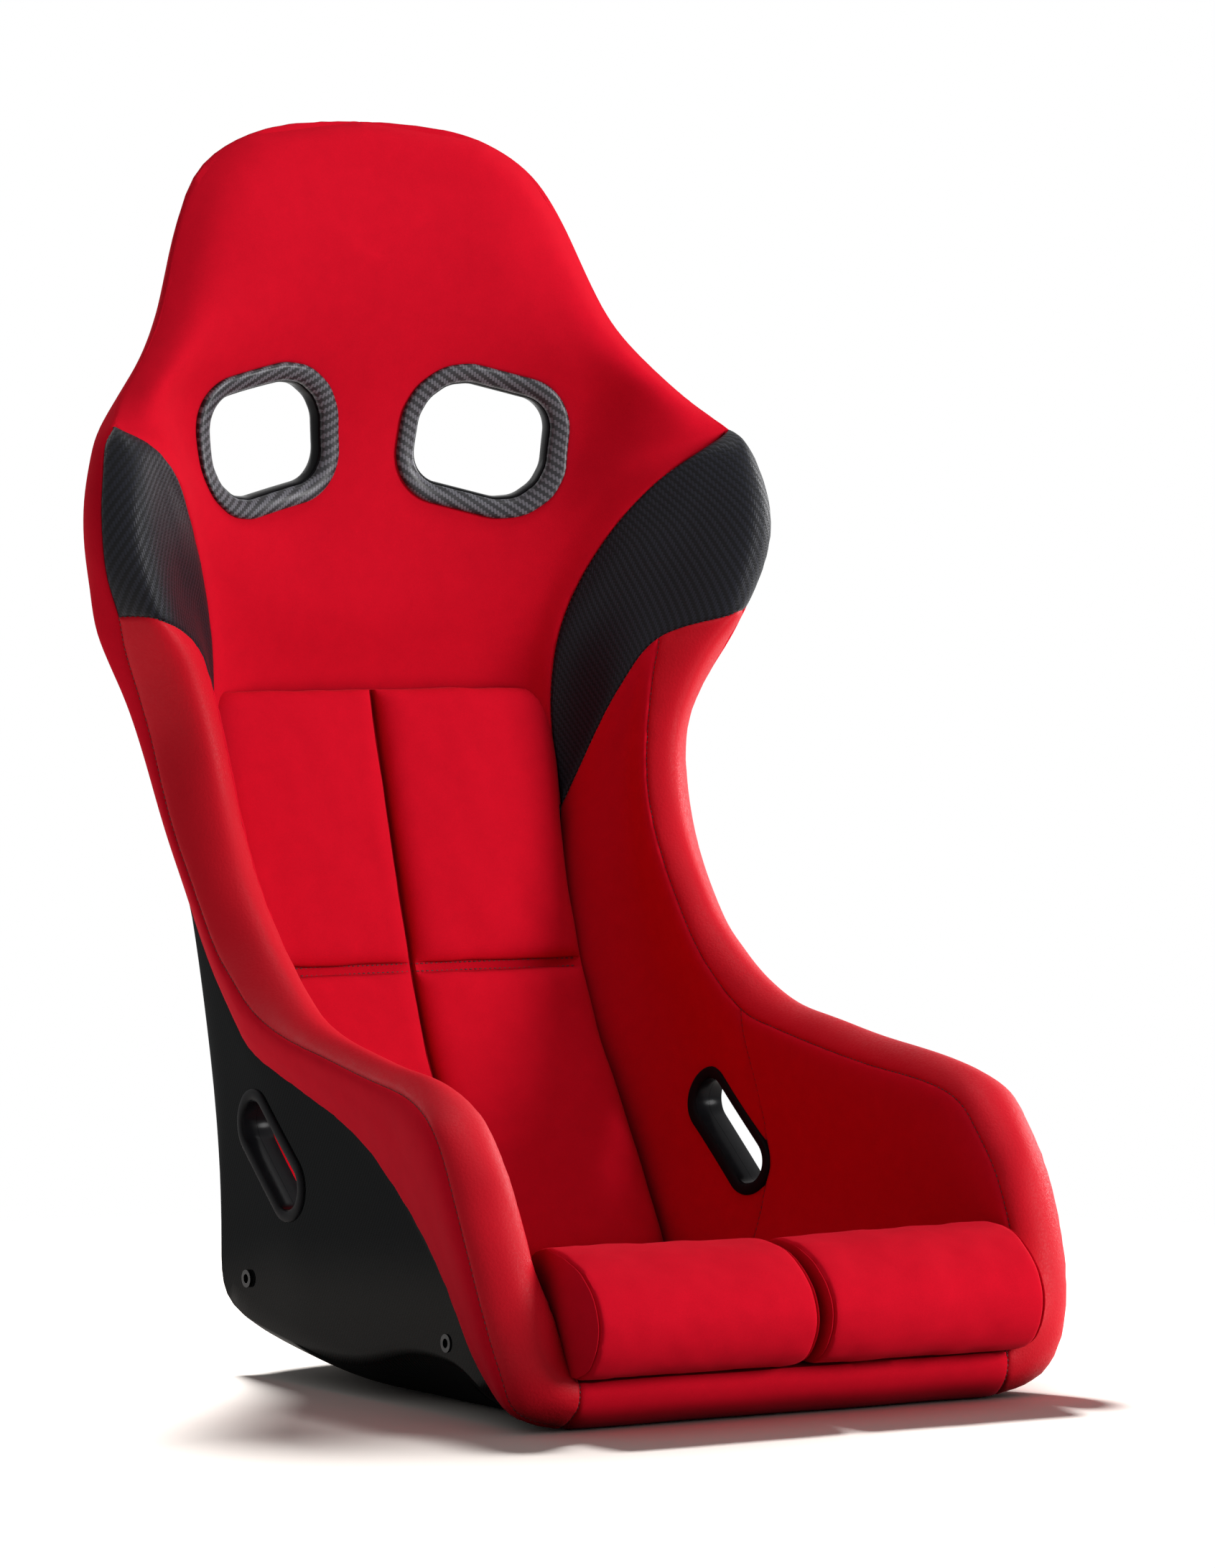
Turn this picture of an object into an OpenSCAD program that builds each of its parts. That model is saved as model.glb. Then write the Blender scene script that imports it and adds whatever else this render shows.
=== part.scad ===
// Full-bucket racing seat: a one-piece moulded fibre-reinforced shell with a sewn,
// foam-backed cover over its inside and rim, loose cushions, harness bezels and
// threaded side mounts. Millimetres, +Z up, the sitter faces -Y, and +X is the
// sitter's left. The origin is the middle of the footprint, on the floor.

/* [Shell] */
// Wall thickness of the moulded shell
shell_t = 4.5; // [3.5:0.5:6]
// Half the width across the flat side-mount faces
flank_x = 208; // [204:1:212]
// Thickness of the lining under the loose cushions
liner_t = 3; // [2:0.5:4]
// Thickness of the cover where its hem ends on the shell
hem_t = 2.2; // [1.5:0.1:3]

/* [Side mounts] */
// Distance between the front and the rear mounting hole, along the seat
mount_pitch = 288; // [284:1:292]
// Height of the front mounting hole above the floor
mount_front_z = 51; // [49:1:54]
// Height of the rear mounting hole above the floor
mount_rear_z = 70; // [66:1:80]
// Core radius of the M8 thread in each insert
mount_core_r = 3.4; // [3.3:0.05:3.5]
// Radius of the insert's round body
insert_r = 6.5; // [6:0.5:7.5]

/* [Harness openings] */
// Width of the moulded rim round a shoulder opening
shoulder_rim = 16; // [12:1:18]
// Length of a lap opening
lap_len = 94; // [80:1:100]
// Width of a lap opening
lap_wid = 27; // [22:1:32]
// Width of the moulded rim round a lap opening
lap_rim = 12; // [9:1:14]
// Slope of a lap opening's long axis, in degrees above level
lap_slope = 40; // [34:1:46]
// Width of the strap slot in the pan
crotch_len = 76; // [60:1:80]
// Length of the strap slot in the pan, from front to back
crotch_wid = 26; // [20:1:30]
// Distance of the strap slot's middle behind the front lip
crotch_y = 104; // [96:1:120]

/* [Cushions] */
// Half the width of the back cushion
back_half_w = 155; // [148:1:158]
// Height of the back cushion's top edge
back_top_z = 493; // [486:1:500]
// Height of the sewn channel across the back cushion
back_cross_z = 284; // [270:1:300]
// Height that each pad of the back cushion swells above the channels
back_crown = 15; // [10:1:18]
// Length of one thigh roll
roll_len = 182; // [170:1:184]

/* [Hidden] */

red = "crimson";
// The lofting tables are measured from the front lip, and this carries them to the
// middle of the footprint.
lip_to_middle = [0, -277, 0];

// ---------------------------------------------------------------------------
// Cross-sections
//
// The seat is a dish with a padded rim all round, so its cross-sections start on the
// centre line at the front lip, turn round the front corner, follow the thigh bolster
// back, climb the back bolster and the shoulder wing, and fan in again over the head
// to the centre line. Each one runs from the middle of the dish out over the rim and
// down its outside to the hem of the cover.
// Points of one section, in this order:
//   wall foot, wall middle, inner seam, rim crest, outer seam, outer bulge, hem,
//   shell rim, shell flank, shell corner, shell middle
// A number for the bulge is how far it stands out in X from the line between seam and
// hem, and undef for the shell rim sets it rim_pad under the crest.
FOOT = 0; WALL = 1; INNER = 2; CREST = 3; OUTER = 4; BULGE = 5; HEM = 6;
RIM = 7; FLANK = 8; CORNER = 9; MIDDLE = 10;
rim_pad = 17;

function lip_section(x) = [
    [0.9 * x, 52, 9], [0.96 * x, 10, 33], [x, -20, 34.5], [x, -19.5, 16], [x, -2, 0.6],
    [x, 8, 0], [x, 18, hem_t], [x, -10, 18], [0.98 * x, 34, 1.5], [0.9 * x, 54, 1],
    [0, 84, 1]
];

thigh_sections = [
    [[160, 62, 9], [176, 20, 42], [184, -15, 50], [197, -22, 30], [220, -3, 12], 3,
     [205, 24, 9], undef, [199, 38, 11], [160, 66, 1], [0, 92, 0.6]],
    [[163, 76, 10], [184, 38, 52], [190, -8, 78], [208, -23, 54], [233, -7, 37], 5,
     [207, 48, 24], undef, [flank_x - 1, 57, 20], [162, 80, 1.5], [0, 104, 0.3]],
    [[164, 92, 10], [187, 58, 62], [195, -1, 97], [217, -15, 82], [242, -2, 70], 7,
     [flank_x, 76, 50], undef, [flank_x, 80, 31], [163, 96, 2], [0, 118, 0]],
    [[165, 110, 10], [188, 80, 70], [198, 6, 112], [219, -5.5, 111], [246, 8, 102], 7,
     [flank_x, 101, 82], undef, [flank_x, 100, 37], [164, 114, 2.5], [0, 134, 0]],
    [[165, 130, 10], [189, 102, 77], [199, 17, 137], [220, 7, 140], [248, 20, 133], 7,
     [flank_x, 126, 110], undef, [flank_x, 121, 39], [165, 134, 3], [0, 152, 0]],
    [[165, 152, 10], [190, 125, 84], [199, 31, 162], [220.5, 21, 169], [248, 35, 162], 7,
     [flank_x, 154, 134], undef, [flank_x, 144, 40], [165, 156, 3], [0, 172, 0]],
    [[165, 174, 10], [190, 149, 92], [198, 49, 184], [221, 42, 194], [246, 52, 188], 7,
     [flank_x, 186, 158], undef, [flank_x, 168, 38], [165, 178, 3], [0, 194, 0]],
    [[165, 198, 10], [190, 173, 100], [197, 72, 207], [219.5, 67, 218], [245, 71, 210], 7,
     [flank_x, 217, 177], undef, [flank_x, 193, 32], [165, 202, 3], [0, 218, 0]],
    [[165, 222, 10], [190, 199, 108], [192, 113, 219], [215, 114, 235],
     [237, 115, 225], 7,
     [flank_x, 252, 193], undef, [flank_x, 219, 25], [165, 226, 3], [0, 244, 0]],
    [[165, 249, 10], [191, 227, 118], [188, 172, 225], [212.5, 180, 242],
     [232, 181, 233], 6,
     [flank_x, 290, 205], undef, [flank_x, 248, 22], [165, 252, 3], [0, 272, 0.5]],
    [[165, 277, 11], [191, 257, 128], [184, 248, 237], [208, 250, 253.4],
     [228, 251, 244], 6,
     [flank_x, 328, 216], undef, [flank_x, 280, 24], [165, 280, 4], [0, 302, 1.5]],
    [[165, 303, 13], [191, 287, 136], [180, 296, 247], [203.7, 303, 263.7],
     [226, 316, 254], 6,
     [flank_x, 362, 226], undef, [flank_x, 318, 29], [165, 306, 6], [0, 332, 3]]
];

// The first of these carries the seam that meets the bolster facing in its notch.
side_sections = [
    [[165, 328, 17], [191, 316, 142], [177, 330, 255], [199.5, 344, 282],
     [225, 366, 271], 5,
     [207, 394, 237], undef, [207, 366, 36], [165, 334, 10], [0, 364, 6]],
    [[161, 390, 32], [189, 362, 172], [174, 384, 295], [195.8, 381, 310],
     [224, 393, 290], 5,
     [205, 422, 260], undef, [206, 437, 54], [162, 398, 22], [0, 426, 17]],
    [[156, 443, 74], [188, 404, 208], [175, 415, 330], [195.5, 401, 328.5],
     [223, 420, 309], 5,
     [203, 452, 288], undef, [205, 442, 104], [160, 452, 66], [0, 478, 62]],
    [[152, 474, 142], [184, 445, 258], [176, 441, 366], [196, 434, 370],
     [223, 454, 354], [216, 474, 346],
     [201, 490, 334], undef, [200, 454, 166], [154, 481, 139], [0, 506, 138]],
    [[148, 497, 214], [179, 478, 316], [177, 463, 411], [197, 454, 413],
     [227, 483, 403], [222, 497, 392],
     [201, 508, 378], undef, [198, 468, 226], [150, 504, 211], [0, 530, 212]],
    [[145, 519, 282], [176, 495, 370], [182, 473, 455], [202, 464, 458],
     [234, 498, 462], [232, 512, 449],
     [205, 520, 420], undef, [196, 486, 286], [147, 526, 279], [0, 552, 277]],
    [[144, 535, 325], [175, 501, 412], [189, 478, 493], [216, 462, 500],
     [250, 492, 502], [249, 508, 491],
     [212, 522, 455], [220, 480, 500], [196, 502, 326], [145, 542, 322], [0, 566, 320]],
    [[147, 545, 363], [175, 503, 453], [195, 482, 516], [233, 456, 530],
     [264, 483, 530], [268, 500, 522],
     [219, 520, 482], [234, 479, 526], [197, 517, 363], [144, 555, 359], [0, 578, 356]]
];

wing_sections = [
    [[152, 548, 400], [176, 502, 493], [201, 485, 531], [250, 452, 550],
     [272, 475, 551], [280, 497, 546],
     [226, 517, 508], [246, 480, 548], [200, 532, 402], [143, 567, 397], [0, 590, 392]],
    [[146, 557, 470], [170, 532, 533], [202, 501, 565], [258, 451, 577],
     [285, 470, 579], [285, 497, 575],
     [232, 514, 533], [254, 480, 576], [204, 544, 458], [145, 580, 453], [0, 602, 450]],
    [[150, 553, 530], [176, 525, 573], [212, 491, 598], [268, 451.5, 607],
     [291, 466, 608], [288, 498, 603],
     [237, 512, 574], [264, 480, 605], [207, 539, 527], [150, 581, 512], [0, 606, 505]],
    [[163, 541, 575], [190, 512, 604], [224, 482, 623], [270, 452, 632],
     [291, 468, 635], [287, 499, 631],
     [238, 510, 614], [265, 482, 632], [209, 533, 578], [155, 574, 562], [0, 604, 552]],
    [[188, 518, 625], [210, 497, 640], [235, 475, 652], [267, 459, 660],
     [286, 474, 661], [282, 501, 660],
     [237, 511, 650], [259, 488, 660], [212, 529, 624], [160, 569, 609], [0, 602, 600]],
    [[222, 487, 668], [234, 478, 675], [248, 472, 680], [267, 470, 683],
     [279, 484, 682], [274, 507, 682],
     [230, 520, 680], [250, 500, 682], [209, 533, 665], [165, 567, 652], [0, 599, 645]],
    [[268, 489, 693], [268, 489, 693], [268, 489, 693], [268, 489, 693],
     [268, 489, 693], [262, 516, 697],
     [217, 531, 705], [240, 508, 698], [198, 543, 698], [160, 572, 689], [0, 595, 680]]
];

function head_section(seam, bulge, hem, rim, flank, corner, middle) =
    [seam, seam, seam, seam, seam, bulge, hem, rim, flank, corner, middle];

head_sections = [
    head_section([252, 514, 712], [240, 534, 715], [202, 544, 724], [229, 520, 713],
                 [184, 553, 724], [143, 577, 719], [0, 590, 712]),
    head_section([227, 530, 738], [215, 549, 741], [180, 558, 750], [205, 535, 737],
                 [162, 565, 752], [126, 578, 747], [0, 586, 740]),
    head_section([200, 549, 773], [189, 568, 776], [156, 576, 784], [179, 554, 771],
                 [139, 579, 782], [108, 581, 768], [0, 584, 762]),
    head_section([183, 562, 814], [173, 581, 815], [141, 586, 817], [162, 567, 811],
                 [126, 586, 808], [94, 583, 790], [0, 583, 778]),
    head_section([168, 573, 854], [156, 591, 852], [127, 594, 845], [146, 577, 848],
                 [111, 592, 830], [80, 585, 806], [0, 583, 788]),
    head_section([144, 582, 892], [130, 600, 886], [108, 600, 868], [122, 585, 880],
                 [93, 597, 850], [66, 587, 818], [0, 583, 792]),
    head_section([96, 586, 918], [86, 606, 908], [71, 603, 889], [80, 590, 902],
                 [60, 600, 868], [43, 588, 828], [0, 583, 792]),
    head_section([48, 592, 926], [44, 611, 916], [36, 605, 898], [41, 595, 911],
                 [30, 600, 877], [21, 588, 833], [0, 583, 792]),
    head_section([0, 595, 928], [0, 613, 918.5], [0, 605, 901], [0, 597, 914],
                 [0, 600, 880], [0, 588, 835], [0, 583, 792])
];

sections = concat(
    [for (x = [0, 65, 125, 160, 178]) lip_section(x)],
    thigh_sections, side_sections, wing_sections, head_sections
);
LIP_END = 4;
NOTCH = LIP_END + len(thigh_sections) + 1;
WING_FOOT = NOTCH + len(side_sections);
WING_TOP = WING_FOOT + len(wing_sections) - 1;
TOP = len(sections) - 1;

// The front of the upper back and head, from the centre line out to the wing or head
// seam, for the sections from WING_FOOT on: the centre, then three points across.
front_sections = [
    [[0, 580, 392], [50, 579, 393], [104, 571, 396], [131, 562, 398]],
    [[0, 593, 450], [55, 592, 452], [108, 584, 458], [131, 574, 464]],
    [[0, 587, 505], [50, 585, 510], [104, 577, 518], [131, 567, 524]],
    [[0, 582, 550], [60, 580, 556], [118, 569, 565], [144, 557, 571]],
    [[0, 584, 600], [70, 580, 606], [132, 560, 615], [162, 542, 621]],
    [[0, 583, 645], [80, 579, 652], [155, 552, 660], [192, 521, 665]],
    [[0, 580, 680], [88, 575, 686], [172, 541, 690], [232, 494, 691]],
    [[0, 574, 712], [95, 569, 716], [182, 534, 717], [239, 498, 712]],
    [[0, 567, 742], [85, 563, 744], [166, 540, 744], [215, 513, 739]],
    [[0, 560, 770], [72, 556, 774], [142, 546, 776], [188, 532, 774]],
    [[0, 557, 793], [64, 554, 804], [127, 549, 812], [171, 545, 814]],
    [[0, 556, 810], [56, 556, 827], [112, 554, 842], [154, 556, 853]],
    [[0, 556, 820], [47, 558, 842], [92, 562, 866], [128, 566, 886]],
    [[0, 557, 824], [31, 560, 849], [62, 567, 879], [85, 573, 908]],
    [[0, 557, 824], [16, 560, 851], [32, 571, 884], [43, 580, 916]],
    [[0, 557, 824], [0, 560, 851], [0, 572, 885], [0, 584, 919]]
];

// ---------------------------------------------------------------------------
// Curves

function unit(v) = v / max(norm(v), 1e-9);

// Curve from b to c, with a before and d after, whose speed follows the spacing
function through(a, b, c, d, u) =
    norm(c - b) < 0.01 ? b :
    let (
        t1 = sqrt(max(norm(b - a), 1)), t2 = t1 + sqrt(norm(c - b)),
        t3 = t2 + sqrt(max(norm(d - c), 1)), t = t1 + (t2 - t1) * u,
        ab = ((t1 - t) * a + t * b) / t1,
        bc = ((t2 - t) * b + (t - t1) * c) / (t2 - t1),
        cd = ((t3 - t) * c + (t - t2) * d) / (t3 - t2),
        abc = ((t2 - t) * ab + t * bc) / t2,
        bcd = ((t3 - t) * bc + (t - t1) * cd) / (t3 - t1)
    )
    ((t2 - t) * abc + (t - t1) * bcd) / (t2 - t1);

// The point at parameter u along a list of points, one unit a point
function on_curve(pts, u) =
    let (
        n = len(pts) - 1, k = min(floor(u), n - 1),
        b = pts[k], c = pts[k + 1],
        a = k > 0 ? pts[k - 1] : 2 * b - c,
        d = k < n - 1 ? pts[k + 2] : 2 * c - b
    )
    u <= 0 ? pts[0] : u >= n ? pts[n] : through(a, b, c, d, u - k);

// A row of a table at a fractional place between two of the listed rows
function blended(table, place) =
    let (k = min(floor(place), len(table) - 2))
    place == k ? table[k] :
    [for (j = [0:len(table[k]) - 1]) on_curve([for (row = table) row[j]], place)];

// ---------------------------------------------------------------------------
// Surfaces

// A section with its bulge and its shell rim worked out
function finished(s) =
    let (
        out = unit(s[CREST] - (s[INNER] + s[OUTER]) / 2),
        rim = is_undef(s[RIM]) ? s[CREST] - rim_pad * out : s[RIM],
        bulge = is_num(s[BULGE]) ? (s[OUTER] + s[HEM]) / 2 + [s[BULGE], 0, 0] : s[BULGE]
    )
    [for (j = [0:10]) j == RIM ? rim : j == BULGE ? bulge : s[j]];

// Rows of the model: one at each section, and one more in the middle of the spans that
// turn most, which are the thigh bolster's front shoulder, the wing and the head
function steps_after(k) = k >= WING_FOOT || (k >= LIP_END + 5 && k <= LIP_END + 9) ? 2 : 1;
places = [
    for (k = [0:TOP - 1], j = [0:steps_after(k) - 1]) k + j / steps_after(k),
    TOP
];
LAST = len(places) - 1;
function row_of(section) = [for (i = [0:LAST]) if (places[i] == section) i][0];
LIP_ROW = row_of(LIP_END);
NOTCH_ROW = row_of(NOTCH);
WING_ROW = row_of(WING_FOOT);
WING_TOP_ROW = row_of(WING_TOP);

// Over the head one seam takes the place of the four inner ones
function gathered(s, place) =
    [for (j = [0:10]) place > WING_TOP && j < OUTER ? s[OUTER] : s[j]];
drawn = [for (s = sections) finished(s)];
loft = [for (place = places) gathered(blended(drawn, place), place)];
front_rows = [for (i = [WING_ROW:LAST]) blended(front_sections, places[i] - WING_FOOT)];

// Outside of the shell from its middle (0) over its corner (1), its flank (2) and the
// hem (3) to its rim (4). The flank is flat, and the shell turns away from it smoothly.
function mirrored(p) = [-p[0], p[1], p[2]];
function on_floor(p) = [p[0], p[1], max(p[2], 0)];
flank_grip = 4;
function outside(i, u) =
    let (
        s = loft[i], middle = s[MIDDLE], corner = s[CORNER], flank = s[FLANK],
        hem = s[HEM], rim = s[RIM], run = flank_grip * unit(hem - flank)
    )
    u <= 1 ? on_floor(through(mirrored(corner), middle, corner, flank, u)) :
    u <= 2 ? on_floor(through(middle, corner, flank, flank + run, u - 1)) :
    u <= 3 ? flank + (hem - flank) * (u - 2) :
    through(hem - run, hem, rim, 2 * rim - hem, u - 3);

// Direction into the seat, square to the outside of the shell
function inward(i, u) =
    let (
        lo = max(i - 1, 0), hi = min(i + 1, LAST),
        v = max(u, 0.15),
        across = outside(i, min(v + 0.1, 4)) - outside(i, v - 0.1),
        along = outside(hi, v) - outside(lo, v),
        n = unit(cross(across, along))
    )
    i == 0 || i == LAST || u == 0 ? unit([0, n[1], n[2]]) : n;

function inside(i, u) = outside(i, u) + shell_t * inward(i, u);

// Where the foot of the wall, the inner seam and the outer seam stand on the shell
function on_wing(i) = places[i] - WING_FOOT;
function foot_u(i) =
    lookup(on_wing(i), [[0, 1.15], [1, 1.5], [2, 1.8], [3, 2.1], [4, 2.6], [5, 3.3], [6, 4]]);
function inner_u(i) =
    lookup(on_wing(i), [[0, 3.1], [1, 3.2], [2, 3.25], [3, 3.3], [4, 3.5], [5, 3.8], [6, 4]]);
function outer_u(i) = lookup(on_wing(i), [[4, 3.6], [5, 3.8], [6, 4]]);

// Steps across each panel of the cover, and where the columns of the front stand on
// its five points
WALL_N = 4; FACE_N = 3; BAND_N = 3;
front_steps = [0, 0.8, 1.6, 2.4, 3, 3.5, 4];
FRONT_N = len(front_steps) - 1;

function hem_edge(i) = outside(i, 3) - hem_t * inward(i, 3);
function cover_curve(i) =
    let (s = loft[i])
    [s[FOOT], s[WALL], s[INNER], s[CREST], s[OUTER], s[BULGE], hem_edge(i)];

function wall_row(i) = [for (k = [0:WALL_N]) on_curve(cover_curve(i), 2 * k / WALL_N)];
function face_in_row(i) = [for (k = [0:FACE_N]) on_curve(cover_curve(i), 2 + k / FACE_N)];
function face_out_row(i) =
    [for (k = [0:FACE_N]) on_floor(on_curve(cover_curve(i), 3 + k / FACE_N))];
function band_row(i) =
    [for (k = [0:BAND_N]) on_floor(on_curve(cover_curve(i), 4 + 2 * k / BAND_N))];
function front_curve(i) = concat(front_rows[i - WING_ROW], [loft[i][FOOT]]);
function front_row(i) =
    let (c = front_curve(i), across = mirrored(c[1]))
    [for (u = front_steps) u < 1 ? through(across, c[0], c[1], c[2], u) : on_curve(c, u)];
function under_front_row(i) = [for (u = front_steps) inside(i, foot_u(i) * u / 4)];
liner_steps = [0, 0.4, 0.75, 1];
function liner_row(i, rise) =
    [for (v = liner_steps)
        outside(i, foot_u(i) * v) + (shell_t + rise) * inward(i, foot_u(i) * v)];

function inside_row(i, from, to, n) = [for (k = [0:n]) inside(i, from + (to - from) * k / n)];
function outside_row(i, from, to, n) = [for (k = [0:n]) outside(i, from + (to - from) * k / n)];
function shifted(row, by) = [for (p = row) p + by];

// Both halves of a row, from the right of the sitter to the left
function both(row) =
    concat([for (k = [len(row) - 1:-1:1]) mirrored(row[k])], row);

// ---------------------------------------------------------------------------
// Solids between two surfaces

// Closed solid between rows of points on its face and the matching rows on its back.
// A row in which the halves meet on the centre line has no end wall there.
module between(face, back, wall_first = true, wall_last = true) {
    rows = len(face);
    cols = len(face[0]);
    points = [for (r = face) each r, for (r = back) each r];
    function f(i, j) = i * cols + j;
    function b(i, j) = (rows + i) * cols + j;
    faces = concat(
        [for (i = [0:rows - 2], j = [0:cols - 2]) each [
            [f(i, j), f(i + 1, j), f(i + 1, j + 1)], [f(i, j), f(i + 1, j + 1), f(i, j + 1)],
            [b(i, j), b(i + 1, j + 1), b(i + 1, j)], [b(i, j), b(i, j + 1), b(i + 1, j + 1)]
        ]],
        [for (i = [0:rows - 2]) each [
            [f(i, 0), b(i + 1, 0), f(i + 1, 0)], [f(i, 0), b(i, 0), b(i + 1, 0)],
            [f(i, cols - 1), f(i + 1, cols - 1), b(i + 1, cols - 1)],
            [f(i, cols - 1), b(i + 1, cols - 1), b(i, cols - 1)]
        ]],
        wall_first ? [for (j = [0:cols - 2]) each [
            [f(0, j), f(0, j + 1), b(0, j + 1)], [f(0, j), b(0, j + 1), b(0, j)]
        ]] : [],
        wall_last ? [for (j = [0:cols - 2]) each [
            [f(rows - 1, j), b(rows - 1, j + 1), f(rows - 1, j + 1)],
            [f(rows - 1, j), b(rows - 1, j), b(rows - 1, j + 1)]
        ]] : []
    );
    function apart(a, b) = norm(points[a] - points[b]) > 1e-6;
    polyhedron(points, [for (t = faces)
        if (apart(t[0], t[1]) && apart(t[1], t[2]) && apart(t[2], t[0])) t]);
}

module placed() { translate(lip_to_middle) children(); }
module left() { placed() children(); }
module right() { placed() mirror([1, 0, 0]) children(); }

// ---------------------------------------------------------------------------
// Shell

INSIDE_N = FRONT_N + WALL_N + FACE_N;
// The shell takes one row a section, because the cover hides its rim
SHELL_ROWS = [for (k = [0:TOP]) row_of(k)];
module shell_blank() {
    between(
        [for (i = SHELL_ROWS) both(concat(
            under_front_row(i),
            [for (k = [1:WALL_N])
                inside(i, foot_u(i) + (inner_u(i) - foot_u(i)) * k / WALL_N)],
            [for (k = [1:FACE_N]) inside(i, inner_u(i) + (4 - inner_u(i)) * k / FACE_N)]
        ))],
        [for (i = SHELL_ROWS) both(concat(
            outside_row(i, 0, 3, INSIDE_N - FACE_N - BAND_N),
            [for (k = [1:BAND_N]) outside(i, 3 + (outer_u(i) - 3) * k / BAND_N)],
            [for (k = [1:FACE_N]) outside(i, outer_u(i) + (4 - outer_u(i)) * k / FACE_N)]
        ))],
        wall_first = false, wall_last = false
    );
}

module shell() color("dimgray") placed() difference() {
    shell_blank();
    for (side = [0, 1]) mirror([side, 0, 0]) {
        shoulder_cut(bezel_sleeve);
        lap_cut(bezel_sleeve);
        for (y = mount_ys) insert_pocket(y);
    }
    crotch_cut(bezel_sleeve);
}

// ---------------------------------------------------------------------------
// Cover

LINER_ROWS = [for (k = [0:WING_FOOT]) row_of(k)];
module base_liner() color("black") placed() difference() {
    between(
        [for (i = LINER_ROWS) both(liner_row(i, liner_t))],
        [for (i = LINER_ROWS) both(liner_row(i, 0))],
        wall_first = false
    );
    crotch_cut(bezel_sleeve);
}

module head_cover() color(red) placed() difference() {
    between(
        [for (i = [WING_ROW:LAST]) both(front_row(i))],
        [for (i = [WING_ROW:LAST]) both(under_front_row(i))],
        wall_last = false
    );
    for (side = [0, 1]) mirror([side, 0, 0]) shoulder_cut(bezel_sleeve);
}

// Cover row from the wall foot out to the hem, and the shell under it
function rim_face(i) = concat(
    wall_row(i), [for (k = [1:FACE_N]) face_in_row(i)[k]], face_out_row(i),
    [for (k = [1:BAND_N]) band_row(i)[k]]
);
function rim_back(i) = concat(
    inside_row(i, foot_u(i), inner_u(i), WALL_N),
    [for (k = [1:FACE_N]) inside(i, inner_u(i) + (4 - inner_u(i)) * k / FACE_N)],
    outside_row(i, 4, outer_u(i), FACE_N),
    [for (k = [1:BAND_N]) outside(i, outer_u(i) + (3 - outer_u(i)) * k / BAND_N)]
);
// Columns of those rows
WALL_C = 0; INNER_C = WALL_N; OUTER_C = INNER_C + 2 * FACE_N + 1; HEM_C = OUTER_C + BAND_N;
function part_of(row, from, to) = [for (k = [from:to]) row[k]];
module rim_panel(first, last, from, to)
    between(
        [for (i = [last:-1:first]) part_of(rim_back(i), from, to)],
        [for (i = [last:-1:first]) part_of(rim_face(i), from, to)]
    );

module lip_cover() color(red) placed() between(
    concat(
        [for (i = [LIP_ROW:-1:1]) [for (p = rim_face(i)) mirrored(p)]],
        [for (i = [0:LIP_ROW]) rim_face(i)]
    ),
    concat(
        [for (i = [LIP_ROW:-1:1]) [for (p = rim_back(i)) mirrored(p)]],
        [for (i = [0:LIP_ROW]) rim_back(i)]
    )
);

module wing_panel() color("black") rim_panel(WING_ROW, WING_TOP_ROW, WALL_C, OUTER_C);
module bolster_facing() color(red) rim_panel(LIP_ROW, WING_ROW, INNER_C, OUTER_C);
module upper_side() color(red) difference() {
    rim_panel(NOTCH_ROW, WING_ROW, WALL_C, INNER_C);
    lap_cut(bezel_sleeve);
    side_plate_blank(plate_clearance);
    for (y = mount_ys) insert_pocket(y);
}
module thigh_side() color(red) difference() {
    rim_panel(LIP_ROW, NOTCH_ROW, WALL_C, INNER_C);
    lap_cut(bezel_sleeve);
    side_plate_blank(plate_clearance);
    for (y = mount_ys) insert_pocket(y);
}
module outer_band() color(red) rim_panel(LIP_ROW, LAST, OUTER_C, HEM_C);

// ---------------------------------------------------------------------------
// Harness bezels

// Each opening has two moulded rings that meet inside the wall. A ring has a rim that
// lies on the surface, so it is cut from a layer over that surface, and a sleeve.
bezel_sleeve = 2.5;
sleeve_gap = 0.3;
bezel_rise = 5;
outline_fn = 12;

shoulder_at = [95, 567, 683];
shoulder_turn = 10;
shoulder_lean = 7;
shoulder_round = 41;
// Corners of a shoulder opening's rim, from its middle, seen from the front
shoulder_corners = [[26, 10], [-15, 17], [-28, -9], [18, -19]];
shoulder_sleeve_front = 9;
shoulder_sleeve_rear = 7;

module shoulder_outline(inset)
    hull() for (c = shoulder_corners)
        translate(c) circle(r = shoulder_round - inset, $fn = outline_fn);

// Moves a shape drawn in XY, its Z towards the front, onto the shoulder opening
module at_shoulder()
    translate(shoulder_at) rotate([0, 0, -shoulder_turn]) rotate([90 + shoulder_lean, 0, 0])
        children();
shoulder_out = [-sin(shoulder_turn), -cos(shoulder_turn), -sin(shoulder_lean)];

module shoulder_prism(inset) at_shoulder() translate([0, 0, -70]) linear_extrude(110)
    shoulder_outline(inset);
module shoulder_cut(grow) shoulder_prism(shoulder_rim - grow);

shoulder_rows = [WING_ROW + 4:WING_TOP_ROW + 6];
module shoulder_front_layer(out, in) between(
    [for (i = shoulder_rows) shifted(front_row(i), out * shoulder_out)],
    [for (i = shoulder_rows) shifted(front_row(i), -in * shoulder_out)]
);
module shoulder_rear_layer(out, in) between(
    [for (i = shoulder_rows) shifted(outside_row(i, 0, 2, FRONT_N), in * shoulder_out)],
    [for (i = shoulder_rows) shifted(outside_row(i, 0, 2, FRONT_N), -out * shoulder_out)]
);

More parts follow.
